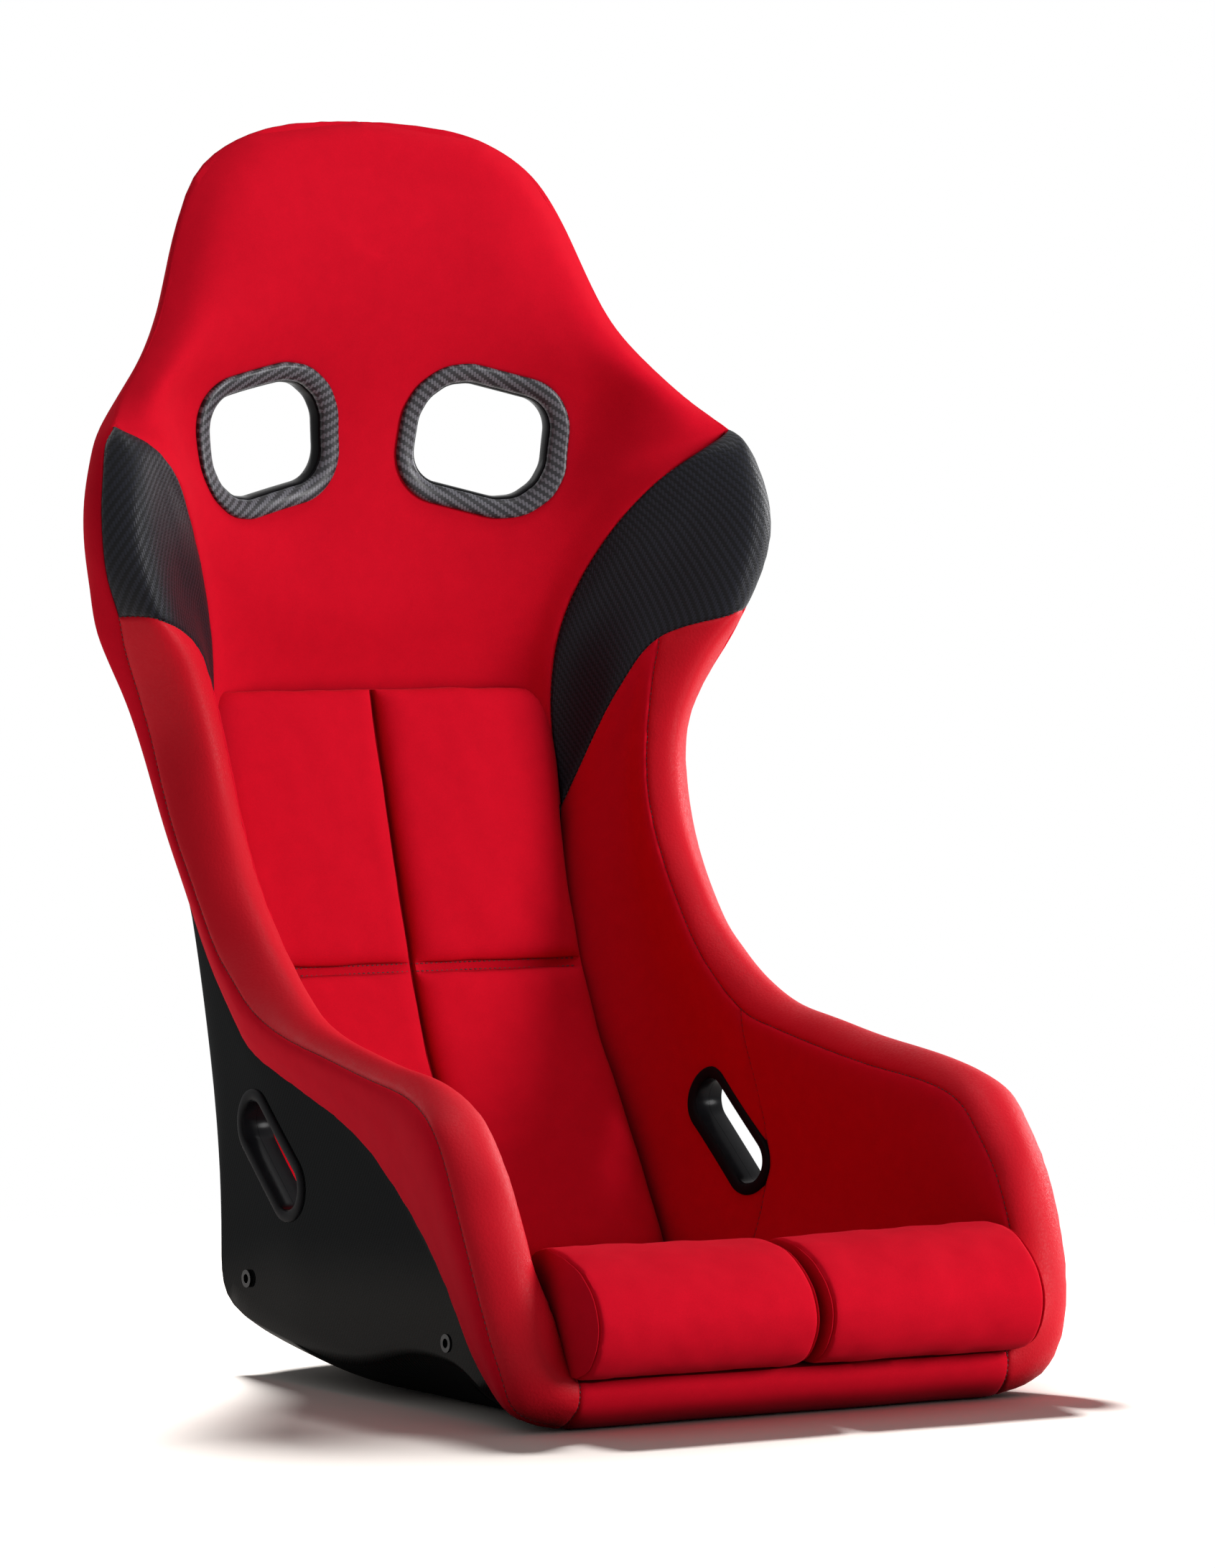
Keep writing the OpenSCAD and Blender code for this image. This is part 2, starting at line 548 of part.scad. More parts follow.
module shoulder_bezel_front() color("dimgray") difference() {
    union() {
        intersection() { shoulder_front_layer(bezel_rise, 0); shoulder_prism(0); }
        intersection() {
            shoulder_front_layer(bezel_rise, shoulder_sleeve_front);
            shoulder_cut(bezel_sleeve - sleeve_gap);
        }
    }
    shoulder_cut(0);
}
module shoulder_bezel_rear() color("dimgray") difference() {
    union() {
        intersection() { shoulder_rear_layer(bezel_rise, 0); shoulder_prism(0); }
        intersection() {
            shoulder_rear_layer(bezel_rise, shoulder_sleeve_rear);
            shoulder_cut(bezel_sleeve - sleeve_gap);
        }
    }
    shoulder_cut(0);
}

lap_at = [0, 363, 163];
lap_rise = 3.5;
lap_sleeve = 7;
module lap_cut(grow)
    translate(lap_at) rotate([lap_slope, 0, 0]) rotate([90, 0, 90])
        translate([0, 0, 150]) linear_extrude(90)
            hull() for (end = [-1, 1]) translate([end * (lap_len - lap_wid) / 2, 0])
                circle(r = lap_wid / 2 + grow, $fn = outline_fn);

lap_rows = [NOTCH_ROW - 4:NOTCH_ROW + 4];
module lap_inner_layer(out, in) between(
    [for (i = lap_rows) shifted(wall_row(i), [-out, 0, 0])],
    [for (i = lap_rows) shifted(wall_row(i), [in, 0, 0])]
);
module lap_outer_layer(out, in) between(
    [for (i = lap_rows) shifted(outside_row(i, 2, 3, 4), [-in, 0, 0])],
    [for (i = lap_rows) shifted(outside_row(i, 2, 3, 4), [out, 0, 0])]
);
module lap_bezel_inner() color("black") difference() {
    union() {
        intersection() { lap_inner_layer(lap_rise, 0); lap_cut(lap_rim); }
        intersection() {
            lap_inner_layer(lap_rise, lap_sleeve);
            lap_cut(bezel_sleeve - sleeve_gap);
        }
    }
    lap_cut(0);
}
module lap_bezel_outer() color("black") difference() {
    union() {
        intersection() { lap_outer_layer(lap_rise, 0); lap_cut(lap_rim); }
        intersection() {
            lap_outer_layer(lap_rise, lap_sleeve);
            lap_cut(bezel_sleeve - sleeve_gap);
        }
    }
    lap_cut(0);
}

// The strap slot in the pan, just behind the thigh rolls
module crotch_outline(grow)
    hull() for (end = [-1, 1]) translate([end * (crotch_len - crotch_wid) / 2, 0])
        circle(r = crotch_wid / 2 + grow, $fn = outline_fn);
module crotch_cut(grow) translate([0, crotch_y, -10]) linear_extrude(120) crotch_outline(grow);
// Its ring lies on the lining, and the sleeve goes down through the shell
crotch_rim = 10;
crotch_rim_t = 2.4;
crotch_rim_z = shell_t + liner_t + 0.6;
crotch_sleeve_z = 1;
module crotch_bezel() color("black") placed() difference() {
    translate([0, crotch_y, 0]) {
        translate([0, 0, crotch_rim_z]) linear_extrude(crotch_rim_t)
            crotch_outline(crotch_rim);
        translate([0, 0, crotch_sleeve_z])
            linear_extrude(crotch_rim_z + crotch_rim_t / 2 - crotch_sleeve_z)
                crotch_outline(bezel_sleeve - sleeve_gap);
    }
    crotch_cut(0);
}

// ---------------------------------------------------------------------------
// Side mounts

mount_front_y = 110;
mount_ys = [mount_front_y, mount_front_y + mount_pitch];
function mount_z(y) = y == mount_front_y ? mount_front_z : mount_rear_z;
plate_t = 3;
plate_half_w = 14;
plate_clearance = 0.4;
plate_x = flank_x - shell_t - plate_t - 1.5;
// An insert starts inside the plate and ends proud of the flank, and its thread is
// closed at the inner end
insert_x = plate_x - 2;
insert_end_x = flank_x + 1;
insert_cap = 1;

module side_plate_blank(grow)
    translate([plate_x - grow, 0, 0]) rotate([90, 0, 90]) linear_extrude(plate_t + 2 * grow)
        hull() for (y = mount_ys) translate([y, mount_z(y)]) circle(r = plate_half_w + grow, $fn = 32);

module side_plate() color("silver") difference() {
    side_plate_blank(0);
    for (y = mount_ys) insert_pocket(y);
}

module along_mount(x, y) translate([x, y, mount_z(y)]) rotate([0, 90, 0]) children();
module insert_pocket(y) along_mount(insert_x - 1, y)
    cylinder(r = insert_r + 0.1, h = 30, $fn = 32);

module insert(y) along_mount(insert_x, y) difference() {
    cylinder(r = insert_r, h = insert_end_x - insert_x, $fn = 48);
    translate([0, 0, insert_cap]) cylinder(r = mount_core_r, h = 30, $fn = 48);
}

module mount_inserts() color("silver") placed()
    for (side = [0, 1], y = mount_ys) mirror([side, 0, 0]) insert(y);

// ---------------------------------------------------------------------------
// Loose cushions

// One pad's swell over a patch that runs from 0 to 1 both ways: steep at the edges,
// flat in the middle
function swell(a, b) = pow(max(sin(180 * a), 0) * max(sin(180 * b), 0), 0.32);

// Front of the lining, or of the upper back above it, at a height and a share of the
// way out to its edge, found by halving the range of rows
function back_wall(side, z, lo = NOTCH_ROW + 1, hi = WING_ROW + 5, n = 9) =
    let (mid = (lo + hi) / 2, p = wall_point(mid, side))
    n == 0 ? p : p[2] < z ? back_wall(side, z, mid, hi, n - 1) : back_wall(side, z, lo, mid, n - 1);
function wall_point(i, side) =
    let (k = floor(i), f = i - k, a = wall_at(k, side), b = wall_at(k + 1, side))
    a + (b - a) * f;
function wall_at(i, side) =
    i > WING_ROW
        ? on_curve(front_curve(i), 3.3 * side)
        : let (u = side * foot_u(i)) outside(i, u) + (shell_t + liner_t) * inward(i, u);

back_rows = 20;
back_cols = 10;
back_foot_z = 88;
// Height and depth of the cushion's front in its channels
back_web_y = [[60, 418], [92, 432], [201, 486], [239, 505], [284, 520], [363, 545],
              [428, 564], [493, 583]];
back_side_wrap = 6;
module back_cushion() {
    function level(r) = back_foot_z + (back_top_z - back_foot_z) * r / back_rows;
    function side(c) = c / back_cols;
    function front_at(c, r) =
        let (
            x = back_half_w * side(c), z = level(r),
            lower = z < back_cross_z,
            v = lower ? (z - back_foot_z) / (back_cross_z - back_foot_z)
                      : (z - back_cross_z) / (back_top_z - back_cross_z),
            h = back_crown * swell(side(c) * 0.94 + 0.03, 0.03 + 0.94 * v)
        )
        [x, lookup(z, back_web_y) - h - back_side_wrap * pow(side(c), 2), z];
    function back_at(c, r) =
        let (w = back_wall(min(side(c), 1), level(r)))
        [back_half_w * side(c) * 0.985, w[1] - 1.5, level(r)];
    color(red) placed() between(
        [for (r = [0:back_rows]) both([for (c = [0:back_cols]) front_at(c, r)])],
        [for (r = [0:back_rows]) both([for (c = [0:back_cols]) back_at(c, r)])]
    );
}

seat_rows = 14;
seat_cols = 8;
seat_front_y = 52;
seat_back_y = 424;
seat_top_half_w = 172;
seat_under_half_w = 156;
seat_edge_z = 66;
seat_crown = 20;
seat_under_z = [[52, 12], [300, 12], [360, 18], [424, 44]];
module seat_cushion() {
    function y_at(r) = seat_front_y + (seat_back_y - seat_front_y) * r / seat_rows;
    function top_at(c, r) =
        let (v = r / seat_rows, s = c / seat_cols)
        [seat_top_half_w * s, y_at(r),
         seat_edge_z + seat_crown * swell(0.5 + 0.46 * s, 0.05 + 0.75 * v) + 2 * v];
    function under_at(c, r) =
        let (s = c / seat_cols)
        [seat_under_half_w * s, y_at(r), lookup(y_at(r), seat_under_z) + 2 * s * s];
    color(red) placed() difference() {
        between(
            [for (r = [0:seat_rows]) both([for (c = [0:seat_cols]) top_at(c, r)])],
            [for (r = [0:seat_rows]) both([for (c = [0:seat_cols]) under_at(c, r)])]
        );
        crotch_cut(0);
    }
}

// Profile of a thigh roll: a half-round nose over the lip and a flat back and foot
roll_profile = [
    [44, 100], [36, 114], [20, 120], [0, 119.5], [-20, 115], [-38, 105], [-52, 91], [-58.5, 74],
    [-55, 57], [-44, 43], [-28, 37], [-8, 37], [12, 37], [30, 37], [44, 40]
];
roll_centre = [-6, 78];
roll_foot_z = 37;
roll_start_x = 2.5;
module thigh_roll() {
    steps = 12;
    cols = len(roll_profile);
    function pinch(k) = 1 - 0.10 * pow(abs(2 * k / steps - 1), 10);
    rows = [for (k = [0:steps])
        [for (p = roll_profile) let (q = roll_centre + (p - roll_centre) * pinch(k))
            [roll_start_x + roll_len * k / steps, q[0], max(q[1], roll_foot_z)]]];
    points = [for (r = rows) each r];
    function at(i, j) = i * cols + j % cols;
    color(red) polyhedron(points, concat(
        [for (i = [0:steps - 1], j = [0:cols - 1]) each [
            [at(i, j), at(i + 1, j + 1), at(i + 1, j)], [at(i, j), at(i, j + 1), at(i + 1, j + 1)]
        ]],
        [[for (j = [cols - 1:-1:0]) at(0, j)], [for (j = [0:cols - 1]) at(steps, j)]]
    ));
}

// ---------------------------------------------------------------------------

shell();
base_liner();
head_cover();
lip_cover();
left() wing_panel();  // wing_panel_left
right() wing_panel();  // wing_panel_right
left() bolster_facing();  // bolster_facing_left
right() bolster_facing();  // bolster_facing_right
left() upper_side();  // upper_side_left
right() upper_side();  // upper_side_right
left() thigh_side();  // thigh_side_left
right() thigh_side();  // thigh_side_right
left() outer_band();  // outer_band_left
right() outer_band();  // outer_band_right
back_cushion();
seat_cushion();
left() thigh_roll();  // thigh_roll_left
right() thigh_roll();  // thigh_roll_right
left() shoulder_bezel_front();  // shoulder_bezel_front_left
right() shoulder_bezel_front();  // shoulder_bezel_front_right
left() shoulder_bezel_rear();  // shoulder_bezel_rear_left
right() shoulder_bezel_rear();  // shoulder_bezel_rear_right
left() lap_bezel_inner();  // lap_bezel_inner_left
right() lap_bezel_inner();  // lap_bezel_inner_right
left() lap_bezel_outer();  // lap_bezel_outer_left
right() lap_bezel_outer();  // lap_bezel_outer_right
crotch_bezel();
left() side_plate();  // side_plate_left
right() side_plate();  // side_plate_right
mount_inserts();
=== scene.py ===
"""Full-bucket racing seat, as it looks: the moulded shell, its sewn and padded cover,
the loose cushions, the harness bezels and the metal at the mounts.

The shape is a loft. Cross-sections start on the centre line at the front lip, turn
round the front corner, follow the thigh bolster back, climb the back bolster and the
wing, and fan in over the head. The tables are in millimetres from the front lip, with
+Z up, the sitter facing -Y and +X the sitter's left.
"""

import math

import bmesh
import bpy
import numpy as np
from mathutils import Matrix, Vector
from mathutils.bvhtree import BVHTree


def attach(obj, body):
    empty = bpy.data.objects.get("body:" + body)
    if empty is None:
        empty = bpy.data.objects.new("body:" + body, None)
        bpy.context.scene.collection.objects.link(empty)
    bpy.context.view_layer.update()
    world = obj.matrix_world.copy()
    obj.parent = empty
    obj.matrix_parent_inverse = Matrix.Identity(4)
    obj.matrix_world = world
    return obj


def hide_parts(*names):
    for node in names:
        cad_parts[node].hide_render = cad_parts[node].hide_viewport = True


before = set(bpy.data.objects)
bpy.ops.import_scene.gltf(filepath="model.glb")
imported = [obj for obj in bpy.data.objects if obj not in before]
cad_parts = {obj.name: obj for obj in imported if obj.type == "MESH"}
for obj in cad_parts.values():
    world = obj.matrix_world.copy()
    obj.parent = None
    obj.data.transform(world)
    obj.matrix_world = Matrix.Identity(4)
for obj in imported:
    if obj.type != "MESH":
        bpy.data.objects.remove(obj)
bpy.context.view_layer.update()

bl_info = {
    "name": "Bucket seat",
    "version": (1, 0, 0),
    "blender": (4, 5, 0),
    "location": "View3D > Sidebar > Seat",
    "description": "Builds a full-bucket racing seat over its packed frame",
    "category": "Object",
}

MM = 0.001
LIP_TO_MIDDLE = 277  # the origin is the middle of the footprint

# --------------------------------------------------------------------------
# Cross-sections, as the frame's source has them
#
# Points: wall foot, wall middle, inner seam, rim crest, outer seam, outer bulge, hem,
# shell rim, shell flank, shell corner, shell middle. A number for the bulge is how far
# it stands out in X from the line between seam and hem, and None for the shell rim sets
# it RIM_PAD under the crest.

FOOT, WALL, INNER, CREST, OUTER, BULGE, HEM, RIM, FLANK, CORNER, MIDDLE = range(11)
FLANK_X = 208
SHELL_T, LINER_T, HEM_T, RIM_PAD = 4.5, 3, 2.2, 17


def lip_section(x):
    return [[0.9 * x, 52, 9], [0.96 * x, 10, 33], [x, -20, 34.5], [x, -19.5, 16],
            [x, -2, 0.6], [x, 8, 0], [x, 18, HEM_T], [x, -10, 18], [0.98 * x, 34, 1.5],
            [0.9 * x, 54, 1], [0, 84, 1]]


def head_section(seam, bulge, hem, rim, flank, corner, middle):
    """Over the head one seam takes the place of the four inner points."""
    return [seam] * 5 + [bulge, hem, rim, flank, corner, middle]


THIGH_SECTIONS = [
    [[160, 62, 9], [176, 20, 42], [184, -15, 50], [197, -22, 30], [220, -3, 12], 3,
     [205, 24, 9], None, [199, 38, 11], [160, 66, 1], [0, 92, 0.6]],
    [[163, 76, 10], [184, 38, 52], [190, -8, 78], [208, -23, 54], [233, -7, 37], 5,
     [207, 48, 24], None, [FLANK_X - 1, 57, 20], [162, 80, 1.5], [0, 104, 0.3]],
    [[164, 92, 10], [187, 58, 62], [195, -1, 97], [217, -15, 82], [242, -2, 70], 7,
     [FLANK_X, 76, 50], None, [FLANK_X, 80, 31], [163, 96, 2], [0, 118, 0]],
    [[165, 110, 10], [188, 80, 70], [198, 6, 112], [219, -5.5, 111], [246, 8, 102], 7,
     [FLANK_X, 101, 82], None, [FLANK_X, 100, 37], [164, 114, 2.5], [0, 134, 0]],
    [[165, 130, 10], [189, 102, 77], [199, 17, 137], [220, 7, 140], [248, 20, 133], 7,
     [FLANK_X, 126, 110], None, [FLANK_X, 121, 39], [165, 134, 3], [0, 152, 0]],
    [[165, 152, 10], [190, 125, 84], [199, 31, 162], [220.5, 21, 169], [248, 35, 162], 7,
     [FLANK_X, 154, 134], None, [FLANK_X, 144, 40], [165, 156, 3], [0, 172, 0]],
    [[165, 174, 10], [190, 149, 92], [198, 49, 184], [221, 42, 194], [246, 52, 188], 7,
     [FLANK_X, 186, 158], None, [FLANK_X, 168, 38], [165, 178, 3], [0, 194, 0]],
    [[165, 198, 10], [190, 173, 100], [197, 72, 207], [219.5, 67, 218], [245, 71, 210], 7,
     [FLANK_X, 217, 177], None, [FLANK_X, 193, 32], [165, 202, 3], [0, 218, 0]],
    [[165, 222, 10], [190, 199, 108], [192, 113, 219], [215, 114, 235],
     [237, 115, 225], 7,
     [FLANK_X, 252, 193], None, [FLANK_X, 219, 25], [165, 226, 3], [0, 244, 0]],
    [[165, 249, 10], [191, 227, 118], [188, 172, 225], [212.5, 180, 242],
     [232, 181, 233], 6,
     [FLANK_X, 290, 205], None, [FLANK_X, 248, 22], [165, 252, 3], [0, 272, 0.5]],
    [[165, 277, 11], [191, 257, 128], [184, 248, 237], [208, 250, 253.4],
     [228, 251, 244], 6,
     [FLANK_X, 328, 216], None, [FLANK_X, 280, 24], [165, 280, 4], [0, 302, 1.5]],
    [[165, 303, 13], [191, 287, 136], [180, 296, 247], [203.7, 303, 263.7],
     [226, 316, 254], 6,
     [FLANK_X, 362, 226], None, [FLANK_X, 318, 29], [165, 306, 6], [0, 332, 3]]
]

SIDE_SECTIONS = [
    [[165, 328, 17], [191, 316, 142], [177, 330, 255], [199.5, 344, 282],
     [225, 366, 271], 5,
     [207, 394, 237], None, [207, 366, 36], [165, 334, 10], [0, 364, 6]],
    [[161, 390, 32], [189, 362, 172], [174, 384, 295], [195.8, 381, 310],
     [224, 393, 290], 5,
     [205, 422, 260], None, [206, 437, 54], [162, 398, 22], [0, 426, 17]],
    [[156, 443, 74], [188, 404, 208], [175, 415, 330], [195.5, 401, 328.5],
     [223, 420, 309], 5,
     [203, 452, 288], None, [205, 442, 104], [160, 452, 66], [0, 478, 62]],
    [[152, 474, 142], [184, 445, 258], [176, 441, 366], [196, 434, 370],
     [223, 454, 354], [216, 474, 346],
     [201, 490, 334], None, [200, 454, 166], [154, 481, 139], [0, 506, 138]],
    [[148, 497, 214], [179, 478, 316], [177, 463, 411], [197, 454, 413],
     [227, 483, 403], [222, 497, 392],
     [201, 508, 378], None, [198, 468, 226], [150, 504, 211], [0, 530, 212]],
    [[145, 519, 282], [176, 495, 370], [182, 473, 455], [202, 464, 458],
     [234, 498, 462], [232, 512, 449],
     [205, 520, 420], None, [196, 486, 286], [147, 526, 279], [0, 552, 277]],
    [[144, 535, 325], [175, 501, 412], [189, 478, 493], [216, 462, 500],
     [250, 492, 502], [249, 508, 491],
     [212, 522, 455], [220, 480, 500], [196, 502, 326], [145, 542, 322], [0, 566, 320]],
    [[147, 545, 363], [175, 503, 453], [195, 482, 516], [233, 456, 530],
     [264, 483, 530], [268, 500, 522],
     [219, 520, 482], [234, 479, 526], [197, 517, 363], [144, 555, 359], [0, 578, 356]]
]

WING_SECTIONS = [
    [[152, 548, 400], [176, 502, 493], [201, 485, 531], [250, 452, 550],
     [272, 475, 551], [280, 497, 546],
     [226, 517, 508], [246, 480, 548], [200, 532, 402], [143, 567, 397], [0, 590, 392]],
    [[146, 557, 470], [170, 532, 533], [202, 501, 565], [258, 451, 577],
     [285, 470, 579], [285, 497, 575],
     [232, 514, 533], [254, 480, 576], [204, 544, 458], [145, 580, 453], [0, 602, 450]],
    [[150, 553, 530], [176, 525, 573], [212, 491, 598], [268, 451.5, 607],
     [291, 466, 608], [288, 498, 603],
     [237, 512, 574], [264, 480, 605], [207, 539, 527], [150, 581, 512], [0, 606, 505]],
    [[163, 541, 575], [190, 512, 604], [224, 482, 623], [270, 452, 632],
     [291, 468, 635], [287, 499, 631],
     [238, 510, 614], [265, 482, 632], [209, 533, 578], [155, 574, 562], [0, 604, 552]],
    [[188, 518, 625], [210, 497, 640], [235, 475, 652], [267, 459, 660],
     [286, 474, 661], [282, 501, 660],
     [237, 511, 650], [259, 488, 660], [212, 529, 624], [160, 569, 609], [0, 602, 600]],
    [[222, 487, 668], [234, 478, 675], [248, 472, 680], [267, 470, 683],
     [279, 484, 682], [274, 507, 682],
     [230, 520, 680], [250, 500, 682], [209, 533, 665], [165, 567, 652], [0, 599, 645]],
    [[268, 489, 693], [268, 489, 693], [268, 489, 693], [268, 489, 693],
     [268, 489, 693], [262, 516, 697],
     [217, 531, 705], [240, 508, 698], [198, 543, 698], [160, 572, 689], [0, 595, 680]]
]

HEAD_SECTIONS = [
    head_section([252, 514, 712], [240, 534, 715], [202, 544, 724], [229, 520, 713],
                 [184, 553, 724], [143, 577, 719], [0, 590, 712]),
    head_section([227, 530, 738], [215, 549, 741], [180, 558, 750], [205, 535, 737],
                 [162, 565, 752], [126, 578, 747], [0, 586, 740]),
    head_section([200, 549, 773], [189, 568, 776], [156, 576, 784], [179, 554, 771],
                 [139, 579, 782], [108, 581, 768], [0, 584, 762]),
    head_section([183, 562, 814], [173, 581, 815], [141, 586, 817], [162, 567, 811],
                 [126, 586, 808], [94, 583, 790], [0, 583, 778]),
    head_section([168, 573, 854], [156, 591, 852], [127, 594, 845], [146, 577, 848],
                 [111, 592, 830], [80, 585, 806], [0, 583, 788]),
    head_section([144, 582, 892], [130, 600, 886], [108, 600, 868], [122, 585, 880],
                 [93, 597, 850], [66, 587, 818], [0, 583, 792]),
    head_section([96, 586, 918], [86, 606, 908], [71, 603, 889], [80, 590, 902],
                 [60, 600, 868], [43, 588, 828], [0, 583, 792]),
    head_section([48, 592, 926], [44, 611, 916], [36, 605, 898], [41, 595, 911],
                 [30, 600, 877], [21, 588, 833], [0, 583, 792]),
    head_section([0, 595, 928], [0, 613, 918.5], [0, 605, 901], [0, 597, 914],
                 [0, 600, 880], [0, 588, 835], [0, 583, 792])
]

FRONT_SECTIONS = [
    [[0, 580, 392], [50, 579, 393], [104, 571, 396], [131, 562, 398]],
    [[0, 593, 450], [55, 592, 452], [108, 584, 458], [131, 574, 464]],
    [[0, 591, 505], [50, 589, 510], [104, 581, 518], [131, 570, 524]],
    [[0, 580, 550], [60, 578, 556], [118, 568, 565], [144, 557, 571]],
    [[0, 584, 600], [70, 580, 606], [132, 560, 615], [162, 542, 621]],
    [[0, 584, 645], [80, 582, 652], [150, 561, 660], [192, 521, 665]],
    [[0, 583, 680], [92, 581, 686], [163, 556, 690], [232, 494, 691]],
    [[0, 577, 712], [97, 575, 716], [170, 548, 717], [228, 503, 712]],
    [[0, 567, 742], [85, 563, 744], [160, 539, 744], [202, 519, 739]],
    [[0, 560, 770], [72, 556, 774], [136, 543, 776], [174, 537, 774]],
    [[0, 557, 793], [64, 554, 804], [118, 547, 812], [156, 549, 814]],
    [[0, 556, 810], [56, 555, 827], [104, 552, 842], [141, 558, 853]],
    [[0, 556, 820], [47, 557, 842], [88, 560, 864], [120, 568, 883]],
    [[0, 557, 824], [31, 560, 849], [62, 567, 879], [85, 573, 908]],
    [[0, 557, 824], [16, 560, 851], [32, 571, 884], [43, 580, 916]],
    [[0, 557, 824], [0, 560, 851], [0, 572, 885], [0, 584, 919]]
]

SECTIONS = ([lip_section(x) for x in (0, 65, 125, 160, 178)]
            + THIGH_SECTIONS + SIDE_SECTIONS + WING_SECTIONS + HEAD_SECTIONS)
LIP_END = 4
NOTCH = LIP_END + len(THIGH_SECTIONS) + 1  # the seam across the wall, by the lap slot
WING_FOOT = NOTCH + len(SIDE_SECTIONS)
WING_TOP = WING_FOOT + len(WING_SECTIONS) - 1
TOP = len(SECTIONS) - 1

# Harness openings: corners of the outline, their radius, and where the outline stands
SHOULDER_HALF = [(30, 9), (-14, 19.5), (-20, 19), (-25, 15.5), (-27.5, 11)]
SHOULDER_CORNERS = SHOULDER_HALF + [(-x, -y) for x, y in SHOULDER_HALF]
SHOULDER_R = 24
SHOULDER_AT, SHOULDER_TURN, SHOULDER_LEAN = (94, 567, 682.5), 10, 7
LAP_LENGTH, LAP_WIDTH, LAP_SLOPE = 99, 33, 40
LAP_AT = (190, 363, 163)
CROTCH_LENGTH, CROTCH_WIDTH, CROTCH_AT = 76, 26, (0, 104, 40)
SLEEVE = 2.5  # a bezel's sleeve and its play, round the opening
MOUNTS = [(110, 51), (398, 70)]  # y and z of the front and the rear thread
MOUNT_BODY_R, MOUNT_CUT_X = 6.6, (190, 230)

# --------------------------------------------------------------------------
# Curves and surfaces, in millimetres


def unit(v):
    return v / np.maximum(np.linalg.norm(v, axis=-1, keepdims=True), 1e-9)


def above(grid, least=0):
    """Grid with nothing lower than a height over the floor."""
    return np.concatenate([grid[..., :2], np.maximum(grid[..., 2:], least)], axis=-1)


def through(a, b, c, d, u):
    """From b (u = 0) to c (u = 1), with a before and d after; speed follows spacing."""
    def gap(p, q, least):
        return np.sqrt(np.maximum(np.linalg.norm(q - p, axis=-1, keepdims=True), least))
    t1 = gap(a, b, 1)
    t2 = t1 + gap(b, c, 1e-4)
    t3 = t2 + gap(c, d, 1)
    t = t1 + (t2 - t1) * u
    ab = ((t1 - t) * a + t * b) / t1
    bc = ((t2 - t) * b + (t - t1) * c) / (t2 - t1)
    cd = ((t3 - t) * c + (t - t2) * d) / (t3 - t2)
    abc = ((t2 - t) * ab + t * bc) / t2
    bcd = ((t3 - t) * bc + (t - t1) * cd) / (t3 - t1)
    return ((t2 - t) * abc + (t - t1) * bcd) / (t2 - t1)


def curve(points, places, before=None, after=None):
    """Points at fractional places along axis 0 of an array whose last axis is x, y, z."""
    points = np.asarray(points, float)
    before = 2 * points[0] - points[1] if before is None else before
    after = 2 * points[-1] - points[-2] if after is None else after
    row = np.concatenate([[before], points, [after]])
    places = np.asarray(places, float)
    k = np.clip(np.floor(places).astype(int), 0, len(points) - 2)
    u = (places - k).reshape((-1,) + (1,) * (points.ndim - 1))
    return through(row[k], row[k + 1], row[k + 2], row[k + 3], u)


def mirrored(points):
    return np.asarray(points) * (-1, 1, 1)


def faired(rail, width, first_odd=False, last_odd=False):
    """Evens out a rail. Beyond an end it runs on mirrored, or turned about the end."""
    reach = 4 * width
    head, tail = rail[reach:0:-1], rail[-2:-reach - 2:-1]
    head = 2 * rail[0] - head if first_odd else mirrored(head)
    tail = 2 * rail[-1] - tail if last_odd else mirrored(tail)
    weight = np.exp(-0.5 * (np.arange(-reach, reach + 1) / width) ** 2)
    weight /= weight.sum()
    row = np.concatenate([head, rail, tail])
    return sum(w * row[k:k + len(rail)] for k, w in enumerate(weight))


def finished(section):
    s = list(section)
    inner, crest, outer, hem = (np.array(s[k], float) for k in (INNER, CREST, OUTER, HEM))
    if s[RIM] is None:
        s[RIM] = crest - RIM_PAD * unit(crest - (inner + outer) / 2)
    if not np.ndim(s[BULGE]):
        s[BULGE] = (outer + hem) / 2 + (s[BULGE], 0, 0)
    return s


SUB = 10  # faired rows a section
FAIR = 3  # and the width of the fairing, in those rows


def faired_loft():
    drawn = np.array([finished(s) for s in SECTIONS], float)
    rows = curve(drawn, np.arange(TOP * SUB + 1) / SUB,
                 mirrored(drawn[1]), mirrored(drawn[-2]))
    top = WING_TOP * SUB
    rows[top:, :OUTER] = rows[top:, OUTER:OUTER + 1]
    inner = rows[:top + 1, :OUTER] - rows[:top + 1, OUTER:OUTER + 1]
    for j in range(OUTER, MIDDLE + 1):
        rows[:, j] = faired(rows[:, j], FAIR)
    for j in range(OUTER):
        rows[:top + 1, j] = rows[:top + 1, OUTER] + faired(inner[:, j], FAIR, last_odd=True)
        rows[top:, j] = rows[top:, OUTER]
    return rows


LOFT = faired_loft()
FRONT = np.stack([
    faired(curve(np.array(FRONT_SECTIONS, float)[:, j],
                 np.arange((TOP - WING_FOOT) * SUB + 1) / SUB), FAIR, first_odd=True)
    for j in range(4)
], axis=1)


def loft_rows(places):
    """Section points at places on the loft, mirrored beyond either end."""
    places = np.asarray(places, float)
    turned = np.where(places < 0, -places, np.where(places > TOP, 2 * TOP - places, places))
    rows = curve(LOFT, turned * SUB)
    rows[turned != places] *= (-1, 1, 1)
    return rows


